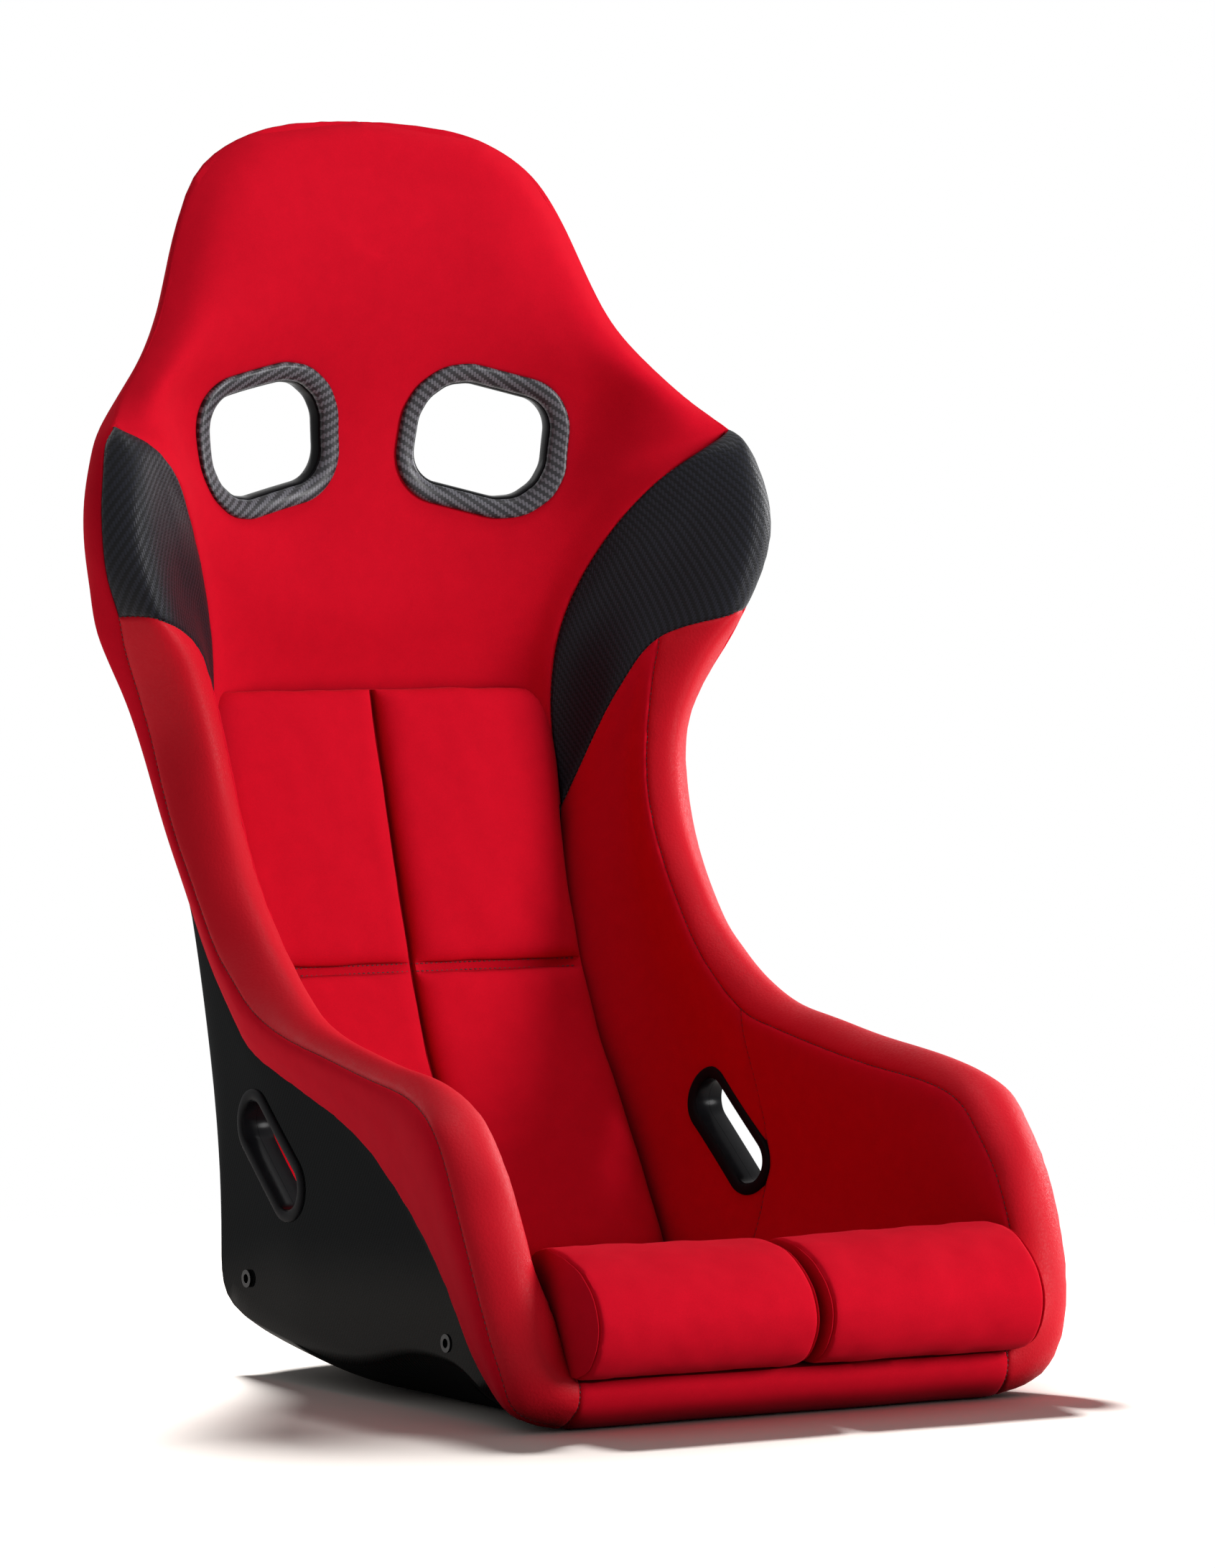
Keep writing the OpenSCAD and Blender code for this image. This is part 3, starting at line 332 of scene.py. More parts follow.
def outside(places, stations_u):
    """Shell's outside: middle 0, corner 1, flank 2, hem 3, rim 4; below 0 is mirrored."""
    rows = loft_rows(places)
    hem, rim, flank, corner, middle = (rows[:, j] for j in range(HEM, MIDDLE + 1))
    run = 4 * unit(hem - flank)
    columns = []
    for u in np.abs(stations_u):
        if u <= 1:
            p = through(mirrored(corner), middle, corner, flank, u)
        elif u <= 2:
            p = through(middle, corner, flank, flank + run, u - 1)
        elif u <= 3:
            p = flank + (hem - flank) * (u - 2)
        else:
            p = through(hem - run, hem, rim, 2 * rim - hem, u - 3)
        columns.append(p)
    grid = np.stack(columns, axis=1)
    grid[:, np.asarray(stations_u) < 0] *= (-1, 1, 1)
    return above(grid)


def normals(grid):
    """Unit normals of a grid whose rows follow the loft and whose columns run outward."""
    return unit(np.cross(np.gradient(grid, axis=1), np.gradient(grid, axis=0)))


NEAR = 0.05  # step to a neighbouring place or station, for a surface's direction


def inside(places, stations_u, depth=SHELL_T):
    """Surface at a depth into the seat from the shell's outside."""
    places, stations_u = np.asarray(places), np.asarray(stations_u)
    along = outside(places + NEAR, stations_u) - outside(places - NEAR, stations_u)
    across = outside(places, stations_u + NEAR) - outside(places, stations_u - NEAR)
    return outside(places, stations_u) + depth * unit(np.cross(across, along))


def cover_rows(places):
    """The seven points that the cover's curve goes through at each place."""
    rows = loft_rows(places)
    hem = 2 * outside(places, [3]) - inside(places, [3], HEM_T)
    return np.concatenate([rows[:, :HEM], hem], axis=1)


def front_rows(places):
    """Nine points across the upper back, from one wall foot to the other."""
    half = curve(FRONT, (places - WING_FOOT) * SUB)
    foot = loft_rows(places)[:, FOOT:FOOT + 1]
    half = np.concatenate([half, foot], axis=1)
    return np.concatenate([mirrored(half[:, :0:-1]), half], axis=1)


def lengths(points, axis):
    """Distance run along an axis of a grid."""
    steps = np.linalg.norm(np.diff(points, axis=axis), axis=-1)
    zero = np.zeros_like(np.take(steps, [0], axis=axis))
    return np.concatenate([zero, np.cumsum(steps, axis=axis)], axis=axis)


def resampled(at, run, points):
    """A row's points at other distances along it than its own, which are run."""
    return np.stack([np.interp(at, run, points[:, k]) for k in range(3)], axis=1)


def surface(rows_at, places, t):
    """Grid with a row at each place, at t along the curve through its points."""
    return np.stack([curve(row, t) for row in rows_at(places)])


EDGE = np.array([0, 0.5, 1.1, 1.9, 3, 4.6, 7, 10.5])  # closest where a seam rolls in
FINE_ROWS, FINE_COLUMNS = 160, 121  # for measuring a surface before its grid is laid


def stations(length, count):
    """Distances along a length: close together at both ends, even between."""
    lead = EDGE * min(1, length / (3 * EDGE[-1]))
    middle = np.linspace(lead[-1], length - lead[-1], count + 2)[1:-1]
    return np.concatenate([lead, middle, length - lead[::-1]])


def even_grid(rows_at, first, last, across, step=7.0):
    """Grid over part of a surface, with rows and columns closer at its edges.

    rows_at gives the control rows at places, and across is the part of a row's curve.
    """
    fine = np.linspace(first, last, FINE_ROWS)
    t = np.linspace(*across, FINE_COLUMNS)
    run = lengths(surface(rows_at, fine, t), 0)[:, len(t) // 2]
    places = np.interp(stations(run[-1], round(run[-1] / step)), run, fine)
    rows = surface(rows_at, places, t)
    runs = lengths(rows, 1)
    count = max(3, round(runs[:, -1].max() / step) - 4)
    return above(np.array([resampled(stations(run[-1], count), run, row)
                           for row, run in zip(rows, runs)]))


WAVES, WAVE_SUM = 9, 3.5  # waves in one field, and what brings their sum to about 1


def lumps(points, height, size, seed):
    """Smooth random waves of about one height either way and of about one size."""
    rng = np.random.default_rng(seed)
    total = 0
    for _ in range(WAVES):
        way = rng.normal(size=3)
        way *= 2 * math.pi / (size * rng.uniform(0.7, 1.6) * np.linalg.norm(way))
        total = total + np.sin(points @ way + rng.uniform(0, 2 * math.pi))
    return height / WAVE_SUM * total


# How a seam shapes its panel: depths, and the distances over which they fade
ROLL_DEPTH, ROLL_FADE, HOLLOW_DEPTH, HOLLOW_FADE = 1.5, 1.5, 0.8, 9
PUCKER_PEAK, PUCKER_SIZE, PUCKER_REACH = 3, 12, 25  # the peak's distance from the seam
SWELL_FROM, SWELL_SIZE = 20, 70


def sewn(grid, seed, edges, pucker=0.35, soft=0.5):
    """A padded panel rolled in at its seams, its normals and its distances across.

    edges lists the sides that are seams: f and l are the first and last row, r the first
    column and t the last. Small puckers follow the seams.
    """
    n = normals(grid)
    along, over = lengths(grid, 0), lengths(grid, 1)
    sides = {"f": along, "l": along[-1:] - along, "r": over, "t": over[:, -1:] - over}
    far = np.min([sides[key] for key in edges], axis=0)
    peak = far / PUCKER_PEAK
    fall = ROLL_DEPTH * np.exp(-far / ROLL_FADE) + HOLLOW_DEPTH * np.exp(-far / HOLLOW_FADE)
    tuck = peak * np.exp(1 - peak) * lumps(grid, pucker, PUCKER_SIZE, seed)
    swell = np.clip(far / SWELL_FROM, 0, 1) * lumps(grid, soft, SWELL_SIZE, seed + 1)
    out = tuck * (far < PUCKER_REACH) + swell - fall
    return above(grid + n * out[..., None]), n, over


# --------------------------------------------------------------------------
# Meshes

SHARP = math.radians(48)  # a fold tighter than this stays an edge


def to_frame(points, side=1):
    """Millimetres from the lip to metres in the shared frame."""
    return (np.asarray(points, float).reshape(-1, 3) * (side, 1, 1)
            - (0, LIP_TO_MIDDLE, 0)) * MM


def new_piece(name, points, faces, uv=None, side=1, merge=None):
    """Mesh object from points in millimetres; faces turn with the side."""
    mesh = bpy.data.meshes.new(name)
    faces = [f[::-1] for f in faces] if side < 0 else faces
    mesh.from_pydata(to_frame(points, side).tolist(), [], faces)
    if uv is not None:
        layer = mesh.uv_layers.new(name="real_size")
        index = np.empty(len(mesh.loops), int)
        mesh.loops.foreach_get("vertex_index", index)
        layer.data.foreach_set("uv", np.asarray(uv)[index].ravel())
    if merge is not None:
        bm = bmesh.new()
        bm.from_mesh(mesh)
        bmesh.ops.remove_doubles(bm, verts=bm.verts, dist=merge * MM)
        bmesh.ops.recalc_face_normals(bm, faces=bm.faces)
        bm.to_mesh(mesh)
        bm.free()
    mesh.validate()
    mesh.shade_smooth()
    mesh.set_sharp_from_angle(angle=SHARP)
    piece = bpy.data.objects.new(name, mesh)
    bpy.context.collection.objects.link(piece)
    return piece


def quads_of(at):
    """Faces between neighbours in a grid of vertex numbers."""
    corners = [at[:-1, :-1], at[:-1, 1:], at[1:, 1:], at[1:, :-1]]
    return np.stack(corners, axis=-1).reshape(-1, 4).tolist()


def turned(quads):
    return [(a, d, c, b) for a, b, c, d in quads]


def numbered(rows, columns):
    return np.arange(rows * columns).reshape(rows, columns)


def slab(name, face, back, side=1, merge=None, ends="fl", plan=None):
    """Closed piece between a grid on its face and the matching grid on its back.

    ends names the rows that get a wall, f for the first and l for the last. A row that
    is folded on itself gets none: its halves are merged instead. plan turns points into
    places on flat cloth, which are otherwise distances run over the face.
    """
    at = numbered(*face.shape[:2])
    both = np.stack([at, at + at.size], axis=-1)
    quads = quads_of(both[..., 0]) + turned(quads_of(both[..., 1]))
    quads += turned(quads_of(both[:, 0])) + quads_of(both[:, -1])
    if "f" in ends:
        quads += quads_of(both[0])
    if "l" in ends:
        quads += turned(quads_of(both[-1]))
    flat = plan(face) if plan else np.stack([lengths(face, 1), lengths(face, 0)], axis=-1)
    flat = flat.reshape(-1, 2) * MM
    points = np.concatenate([face.reshape(-1, 3), back.reshape(-1, 3)])
    return new_piece(name, points, quads, np.concatenate([flat, flat]), side, merge)


def tube_faces(count, around, closed_path=False):
    """Faces of a tube of loops; its ends are capped unless the path closes."""
    at = numbered(count, around)
    at = np.concatenate([at, at[:, :1]], axis=1)
    if closed_path:
        return quads_of(np.concatenate([at, at[:1]]))
    return quads_of(at) + [at[0, -2::-1].tolist(), at[-1, :-1].tolist()]


def rings(name, loops, merge, closed_path=False, side=1, plan=None):
    """Closed tube through loops of points."""
    loops = np.asarray(loops, float)
    wrap = lengths(np.concatenate([loops, loops[:, :1]], axis=1), 1)[:, :-1]
    flat = plan(loops) if plan else np.stack([wrap, lengths(loops, 0)], axis=-1)
    return new_piece(name, loops.reshape(-1, 3), tube_faces(*loops.shape[:2], closed_path),
                     flat.reshape(-1, 2) * MM, side, merge)


def grid_tree(grid):
    """Ray target over a grid, in millimetres."""
    return BVHTree.FromPolygons([Vector(p) for p in grid.reshape(-1, 3)],
                                quads_of(numbered(*grid.shape[:2])))


def drop(tree, origin, way, fallback=None):
    """Where a ray meets a surface."""
    hit = tree.ray_cast(Vector(origin), Vector(way))[0]
    if hit is None and fallback is None:
        raise RuntimeError(f"nothing to rest on from {tuple(origin)}")
    return np.array(hit if hit is not None else fallback)


def outline(corners, radius, step=2.5, arc_steps=10):
    """Points round a rounded outline in its own plane."""
    corners = np.asarray(corners, float)
    n = len(corners)
    ways = []
    for i in range(n):
        d = corners[(i + 1) % n] - corners[i]
        ways.append(math.atan2(-d[0], d[1]))
    out = []
    for i in range(n):
        here, there = corners[i], corners[(i + 1) % n]
        count = max(1, round(np.linalg.norm(there - here) / step))
        for s in range(count):
            out.append((here + (there - here) * s / count, ways[i]))
        turn = (ways[(i + 1) % n] - ways[i]) % (2 * math.pi)
        count = max(1, round(turn * arc_steps))
        for s in range(count):
            out.append((there, ways[i] + turn * s / count))
    return np.array([c + radius * np.array((math.cos(a), math.sin(a))) for c, a in out])


def shoulder_axes():
    """Columns: across, up and out of a shoulder opening on the sitter's left."""
    turn, lean = math.radians(-SHOULDER_TURN), math.radians(90 + SHOULDER_LEAN)
    spin = np.array([[math.cos(turn), -math.sin(turn), 0],
                     [math.sin(turn), math.cos(turn), 0], [0, 0, 1]])
    tip = np.array([[1, 0, 0], [0, math.cos(lean), -math.sin(lean)],
                    [0, math.sin(lean), math.cos(lean)]])
    return spin @ tip


def lap_axes():
    """Columns: along the slot, across it and away from the seat's middle."""
    a = math.radians(LAP_SLOPE)
    return np.array([[0, 0, 1], [math.cos(a), -math.sin(a), 0],
                     [math.sin(a), math.cos(a), 0]])


def slot_outline(length, width):
    """A slot with round ends, as corners and their radius."""
    reach = (length - width) / 2
    return dict(corners=[(reach, 0), (-reach, 0)], radius=width / 2)


# span is how far the cutter reaches either way from the outline's place
OPENINGS = {
    "shoulder": dict(corners=SHOULDER_CORNERS, radius=SHOULDER_R, at=SHOULDER_AT,
                     axes=shoulder_axes(), span=(-70, 45)),
    "lap": dict(slot_outline(LAP_LENGTH, LAP_WIDTH), at=LAP_AT, axes=lap_axes(),
                span=(-40, 50)),
    "crotch": dict(slot_outline(CROTCH_LENGTH, CROTCH_WIDTH), at=CROTCH_AT,
                   axes=np.eye(3), span=(-60, 80)),
}


def opening_loop(spec, grow, height):
    """Outline of an opening, grown by so much, at a height over its own plane."""
    flat = outline(spec["corners"], spec["radius"] + grow)
    return spec["at"] + np.c_[flat, np.full(len(flat), height)] @ spec["axes"].T


def prism(kind, grow, side=1):
    """Solid that cuts one of the harness openings, grown by so much all round."""
    spec = OPENINGS[kind]
    loops = [opening_loop(spec, grow, height) for height in spec["span"]]
    return rings("cutter", loops, 0.01, side=side)


def pocket(y, z, side=1):
    """Solid that cuts the hole for one threaded insert."""
    turn = np.linspace(0, 2 * math.pi, 40, endpoint=False)
    loops = [np.stack([np.full_like(turn, x), y + MOUNT_BODY_R * np.cos(turn),
                       z + MOUNT_BODY_R * np.sin(turn)], axis=1) for x in MOUNT_CUT_X]
    return rings("cutter", loops, 0.01, side=side)


def cut(piece, cutters):
    """Takes the cutters out of a closed piece and deletes them."""
    for cutter in cutters:
        step = piece.modifiers.new("opening", "BOOLEAN")
        step.operation, step.solver, step.object = "DIFFERENCE", "EXACT", cutter
    shown = piece.evaluated_get(bpy.context.evaluated_depsgraph_get())
    mesh = bpy.data.meshes.new_from_object(shown)
    piece.modifiers.clear()
    old, piece.data = piece.data, mesh
    bpy.data.meshes.remove(old)
    mesh.set_sharp_from_angle(angle=SHARP)
    for cutter in cutters:
        bpy.data.objects.remove(cutter)
    return piece


def join(name, pieces):
    """One object from several."""
    bm = bmesh.new()
    for piece in pieces:
        bm.from_mesh(piece.data)
    mesh = bpy.data.meshes.new(name)
    bm.to_mesh(mesh)
    bm.free()
    for piece in pieces:
        bpy.data.objects.remove(piece)
    whole = bpy.data.objects.new(name, mesh)
    bpy.context.collection.objects.link(whole)
    return whole


def finish_piece(piece, material, slot, replaces=(), fill=None):
    """Gives a piece its material, hangs it on the root and hides the frame parts that it
    replaces.
    """
    piece.data.materials.clear()
    piece.data.materials.append(material)
    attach(piece, "root")
    if replaces:
        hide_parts(*replaces)
    return piece

# --------------------------------------------------------------------------
# Materials


def linear(colour):
    """sRGB hex colour as the linear values that shaders use."""
    parts = [int(colour[k:k + 2], 16) / 255 for k in (1, 3, 5)]
    return tuple(c / 12.92 if c <= 0.04045 else ((c + 0.055) / 1.055) ** 2.4 for c in parts)


def add(material, kind, inputs=None, out=0, **settings):
    """Adds a node and returns one of its outputs. An input is a constant or a socket."""
    node = material.node_tree.nodes.new("ShaderNode" + kind)
    for key, value in settings.items():
        setattr(node, key, value)
    for key, value in (inputs or {}).items():
        if isinstance(value, bpy.types.NodeSocket):
            material.node_tree.links.new(value, node.inputs[key])
        else:
            if node.inputs[key].type == "RGBA" and len(value) == 3:
                value = (*value, 1)
            node.inputs[key].default_value = value
    return node.outputs[out] if len(node.outputs) else node


def new_material(name):
    """Empty material, and a point's place on its piece."""
    material = bpy.data.materials.new(name)
    material.use_nodes = True
    material.node_tree.nodes.clear()
    return material, add(material, "TexCoord", out="Object")


def scaled(colour, by):
    return tuple(min(c * by, 1) for c in colour)


PAINTED_SHADE_REACH = 0.045  # metres over which painted shade darkens the cloth in creases and where parts meet


def shaded(m, colour, share, low, high, inputs, painted_crease_shade=False):
    """Principled surface whose tint goes from a low to a high share of the colour.

    With its last argument set, ambient occlusion paints shade into the colour in creases
    and where surfaces meet, down to a quarter of it.
    """
    tint = add(m, "Mix", {0: share, 6: scaled(colour, low), 7: scaled(colour, high)}, out=2,
               data_type="RGBA")
    if painted_crease_shade:
        # Painted shade: ambient occlusion darkens the base colour in creases and where
        # parts meet
        clear = add(m, "AmbientOcclusion", {"Distance": PAINTED_SHADE_REACH}, out="AO", samples=6)
        painted_shade_factor = add(m, "MapRange", {"Value": clear, "From Min": 0.12, "From Max": 0.62,
                                   "To Min": 0.25})
        tint = add(m, "VectorMath", {0: tint, "Scale": painted_shade_factor}, operation="SCALE")
    body = add(m, "BsdfPrincipled", {"Base Color": tint, **inputs})
    add(m, "OutputMaterial", {"Surface": body})
    return m


def suede(name, colour):
    """Brushed knit: matt and finely grained, with a nap that glows at grazing angles."""
    m, place = new_material(name)
    fibre = add(m, "TexNoise", {"Vector": place, "Scale": 1 / (0.8 * MM), "Detail": 4,
                                "Roughness": 0.7})
    nap = add(m, "TexNoise", {"Vector": place, "Scale": 1 / (14 * MM), "Detail": 3})
    both = add(m, "Math", {0: nap, 1: 0.35, 2: fibre}, operation="MULTIPLY_ADD")
    share = add(m, "MapRange", {"Value": both, "From Min": 0.4, "From Max": 0.95})
    relief = add(m, "Bump", {"Strength": 0.45, "Distance": 0.2 * MM, "Height": fibre})
    # The last True adds painted shade in creases and where parts meet
    return shaded(m, colour, share, 0.87, 1.1, {
        "Roughness": 0.9, "Specular IOR Level": 0.04, "Sheen Weight": 0.07,
        "Sheen Roughness": 0.4, "Sheen Tint": (1, 0.12, 0.18, 1), "Normal": relief}, True)


def leathercloth(name, colour):
    """Coated cloth with a pressed pebble grain that breaks up its soft shine."""
    m, place = new_material(name)
    bend = add(m, "TexNoise", {"Vector": place, "Scale": 1 / (4 * MM), "Detail": 2},
               out="Color")
    moved = add(m, "VectorMath", {0: bend, 1: (1.6 * MM,) * 3, 2: place},
                operation="MULTIPLY_ADD")
    grain = add(m, "TexVoronoi", {"Vector": moved, "Scale": 1 / (1.9 * MM),
                                  "Smoothness": 0.7}, feature="SMOOTH_F1")
    pores = add(m, "TexNoise", {"Vector": place, "Scale": 1 / (0.7 * MM), "Detail": 3})
    height = add(m, "Math", {0: grain, 1: -1.0, 2: pores}, operation="MULTIPLY_ADD")
    relief = add(m, "Bump", {"Strength": 0.4, "Distance": 0.28 * MM, "Height": height})
    worn = add(m, "TexNoise", {"Vector": place, "Scale": 1 / (45 * MM), "Detail": 3})
    rough = add(m, "MapRange", {"Value": grain, "From Max": 0.7, "To Min": 0.4,
                                "To Max": 0.6})
    # The last True adds painted shade in creases and where parts meet
    return shaded(m, colour, worn, 0.92, 1.08, {
        "Roughness": rough, "Specular IOR Level": 0.12, "Normal": relief}, True)


def twill(m, thread, turn=0.0):
    """Two-over, two-under weave on real-size UVs.

    Gives how much of a pale thread shows at a point, and the height there; on the vinyl
    that share is a painted satin highlight.
    """
    uv = add(m, "TexCoord", out="UV")
    uv = add(m, "Mapping", {"Vector": uv, "Rotation": (0, 0, math.radians(turn)),
                            "Scale": (1 / thread,) * 3})
    over, along = (add(m, "SeparateXYZ", {0: uv}, out=k) for k in (0, 1))
    cells = [add(m, "Math", {0: s}, operation="FLOOR") for s in (over, along)]
    step = add(m, "Math", {0: cells[0], 1: cells[1]}, operation="ADD")
    step = add(m, "Math", {0: step, 1: 4.0}, operation="FLOORED_MODULO")
    up = add(m, "Math", {0: step, 1: 2.0}, operation="LESS_THAN")
    rounds = []
    for s in (over, along):
        part = add(m, "Math", {0: s}, operation="FRACT")
        part = add(m, "Math", {0: part, 1: -0.5}, operation="ADD")
        square = add(m, "Math", {0: part, 1: part}, operation="MULTIPLY")
        rounds.append(add(m, "Math", {0: square, 1: -4.0, 2: 1.0},
                          operation="MULTIPLY_ADD"))
    height = add(m, "Mix", {0: up, 2: rounds[1], 3: rounds[0]})
    shown = add(m, "MapRange", {"Value": height, "To Min": 0.1, "From Max": 0.7})
    shown = add(m, "Math", {0: shown, 1: up}, operation="MULTIPLY")
    return shown, height


def woven_vinyl(name, colour):
    """Black vinyl pressed with a twill: raised threads have a satin finish, and a painted
    satin highlight makes them paler in rows.
    """
    m, place = new_material(name)
    shown, height = twill(m, 2.1 * MM, 8)
    haze = add(m, "TexNoise", {"Vector": place, "Scale": 1 / (0.6 * MM), "Detail": 2})
    rough = add(m, "Mix", {0: shown, 2: 0.55, 3: 0.4})
    relief = add(m, "Bump", {"Strength": 0.55, "Distance": 0.2 * MM, "Height": height})
    relief = add(m, "Bump", {"Strength": 0.15, "Distance": 0.05 * MM, "Height": haze,
                             "Normal": relief})
    # Painted satin highlight: raised threads are painted up to twice as pale as the colour,
    # palest at their crowns
    return shaded(m, colour, shown, 0.45, 2.0, {
        "Roughness": rough, "Specular IOR Level": 0.14, "Normal": relief})


def moulded_twill(name, colour):
    """Moulded plastic printed with a grey and black twill, under a thin lacquer.

    The threads are drawn at 2.1 mm, a little coarser than real ones, so that they show.
    """
    m, place = new_material(name)
    shown, height = twill(m, 2.1 * MM, -12)
    rub = add(m, "TexNoise", {"Vector": place, "Scale": 1 / (9 * MM), "Detail": 3})
    rough = add(m, "MapRange", {"Value": rub, "To Min": 0.34, "To Max": 0.5})
    relief = add(m, "Bump", {"Strength": 0.25, "Distance": 0.12 * MM, "Height": height})
    return shaded(m, colour, shown, 0.25, 1.3, {
        "Roughness": rough, "Specular IOR Level": 0.2, "Coat Weight": 0.1,
        "Coat Roughness": 0.25, "Normal": relief})


def textured_plastic(name, colour, rough):
    """Black moulded plastic: a spark-eroded skin, with paler rubbed spots."""
    m, place = new_material(name)
    skin = add(m, "TexNoise", {"Vector": place, "Scale": 1 / (0.5 * MM), "Detail": 3})
    wear = add(m, "TexNoise", {"Vector": place, "Scale": 1 / (18 * MM), "Detail": 4})
    spread = add(m, "MapRange", {"Value": wear, "To Min": rough - 0.08,
                                 "To Max": rough + 0.08})
    relief = add(m, "Bump", {"Strength": rough * 0.5, "Distance": 0.08 * MM,
                             "Height": skin})
    return shaded(m, colour, wear, 0.8, 1.6, {
        "Roughness": spread, "Specular IOR Level": 0.05, "Normal": relief})


def gel_coat(name, colour):
    """Clear-coated black fibre: a faint weave shows under a wet, slightly wavy gloss."""
    m, place = new_material(name)
    shown, height = twill(m, 1.1 * MM, 14)
    ripple = add(m, "TexNoise", {"Vector": place, "Scale": 1 / (22 * MM), "Detail": 3})
    weave = add(m, "Bump", {"Strength": 0.12, "Distance": 0.08 * MM, "Height": height})
    coat = add(m, "Bump", {"Strength": 0.1, "Distance": 0.5 * MM, "Height": ripple})
    return shaded(m, colour, shown, 0.5, 2.2, {
        "Roughness": 0.35, "Specular IOR Level": 0.0, "Coat Weight": 0.09,
        "Coat Roughness": 0.08, "Normal": weave, "Coat Normal": coat})


def felt(name, colour):
    """Needled lining cloth: dark, matt and lightly pilled."""
    m, place = new_material(name)
    pile = add(m, "TexNoise", {"Vector": place, "Scale": 1 / (1.4 * MM), "Detail": 5,
                               "Roughness": 0.7})
    relief = add(m, "Bump", {"Strength": 0.7, "Distance": 0.5 * MM, "Height": pile})
    return shaded(m, colour, pile, 0.5, 1.8, {
        "Roughness": 1.0, "Specular IOR Level": 0.1, "Normal": relief})


def blackened_steel(name, colour):
    """Steel with a dark oxide finish: cool sheen, brushed streaks and dull patches."""
    m, place = new_material(name)
    long = add(m, "Mapping", {"Vector": place, "Scale": (1, 0.05, 1)})
    brush = add(m, "TexNoise", {"Vector": long, "Scale": 1 / (0.4 * MM), "Detail": 2})
    dull = add(m, "TexNoise", {"Vector": place, "Scale": 1 / (6 * MM), "Detail": 4})
    rough = add(m, "MapRange", {"Value": dull, "To Min": 0.26, "To Max": 0.48})
    relief = add(m, "Bump", {"Strength": 0.2, "Distance": 0.03 * MM, "Height": brush})
    return shaded(m, colour, dull, 0.7, 1.0, {
        "Metallic": 1.0, "Roughness": rough, "Normal": relief})


def thread(name, colour):
    """Bonded sewing thread: a low sheen, with the twist of its plies."""
    m, place = new_material(name)
    ply = add(m, "TexWave", {"Vector": place, "Scale": 1 / (1.2 * MM), "Distortion": 2.0})
    relief = add(m, "Bump", {"Strength": 0.4, "Distance": 0.1 * MM, "Height": ply})
    return shaded(m, colour, ply, 0.7, 1.3, {"Roughness": 0.6, "Normal": relief})


def seen_rays(material):
    """1 for rays that show the surroundings: seen straight, mirrored or through glass."""
    rays = [add(material, "LightPath", out=f"Is {kind} Ray")
            for kind in ("Camera", "Glossy", "Transmission")]
    both = add(material, "Math", {0: rays[0], 1: rays[1]}, operation="MAXIMUM")
    return add(material, "Math", {0: both, 1: rays[2]}, operation="MAXIMUM")


def pale_floor(name, colour):
    """Studio paper: white to the camera, with the seat's shadow, and a soft grey bounce."""
    m, place = new_material(name)
    seen = seen_rays(m)
    tint = add(m, "Mix", {0: seen, 6: scaled(colour, FLOOR_BOUNCE),
                          7: tuple(c * g for c, g in zip(colour, FLOOR_GAIN))}, out=2,
               data_type="RGBA", clamp_result=False)
    lit = add(m, "BsdfDiffuse", {"Color": tint})
    clear = add(m, "Emission", {"Color": (1, 1, 1), "Strength": 1.0})
    away = add(m, "VectorMath", {0: place}, out="Value", operation="LENGTH")
    far = add(m, "MapRange", {"Value": away, "From Min": SHADOW_REACH[0],
                              "From Max": SHADOW_REACH[1]},
              interpolation_type="SMOOTHSTEP")
    share = add(m, "Math", {0: seen, 1: far}, operation="MULTIPLY")
    both = add(m, "MixShader", {0: share, 1: lit, 2: clear})
    add(m, "OutputMaterial", {"Surface": both})
    return m


LOOKS = {
    "suede": (suede, "red_fabric", "Red suede knit"),
    "leathercloth": (leathercloth, "red_leathercloth", "Red leathercloth"),
    "vinyl": (woven_vinyl, "black_vinyl", "Black twill vinyl"),
    "bezel": (moulded_twill, "bezel_twill", "Moulded twill plastic"),
    "gel": (gel_coat, "shell", "Black gel coat over fibre"),
    "felt": (felt, "liner_cloth", "Black needled felt"),
    "metal": (blackened_steel, "steel", "Blackened steel"),
    "seam_thread": (thread, "red_fabric", "Dark red thread"),
    "dark_thread": (thread, "black_vinyl", "Black thread"),
}


def look(key):
    """The material of that key, made when it is first asked for, and its slot."""
    maker, slot, name = LOOKS[key]
    if name in bpy.data.materials:
        return bpy.data.materials[name], slot
    return maker(name, tuple(getattr(bpy.context.scene.seat_colours, key))), slot


# --------------------------------------------------------------------------
# Pieces

SIDES = {"left": 1, "right": -1}
COVER_T, HEM_EDGE_T = 5, 1.6  # a cover panel's thickness, and at the hem on the shell
HEM_RUN = 25  # it thins over this distance
COVER_CLEAR, LINING_CLEAR = 0.2, 0.2  # a back's height over the floor, and off the shell
HEAD_SEWING = dict(seed=40, edges="frt", soft=0.6)
SHELL_ROWS, SHELL_COLUMNS = 5, (12, 16, 14, 12)  # for one section, and in each station
LINING_ROWS, LINING_HALF, LINING_WAVES = 3, 1.15, (0.4, 40, 5)
WELD = 0.02  # a piece's points closer than this become one
# Panels of the rim on each side: places along the loft, part of the curve across,
# material, and which edges are seams or hems
RIM_PANELS = {
    "thigh_side": (LIP_END, NOTCH, (0, 2), "suede", "flt"),
    "upper_side": (NOTCH, WING_FOOT, (0, 2), "suede", "flt"),
    "bolster_facing": (LIP_END, WING_FOOT, (2, 4), "leathercloth", "flrt"),
    "wing_panel": (WING_FOOT, WING_TOP - 0.04, (0, 4), "vinyl", "frt"),
    "outer_band": (LIP_END, TOP, (4, 6), "suede", "flrt"),
}


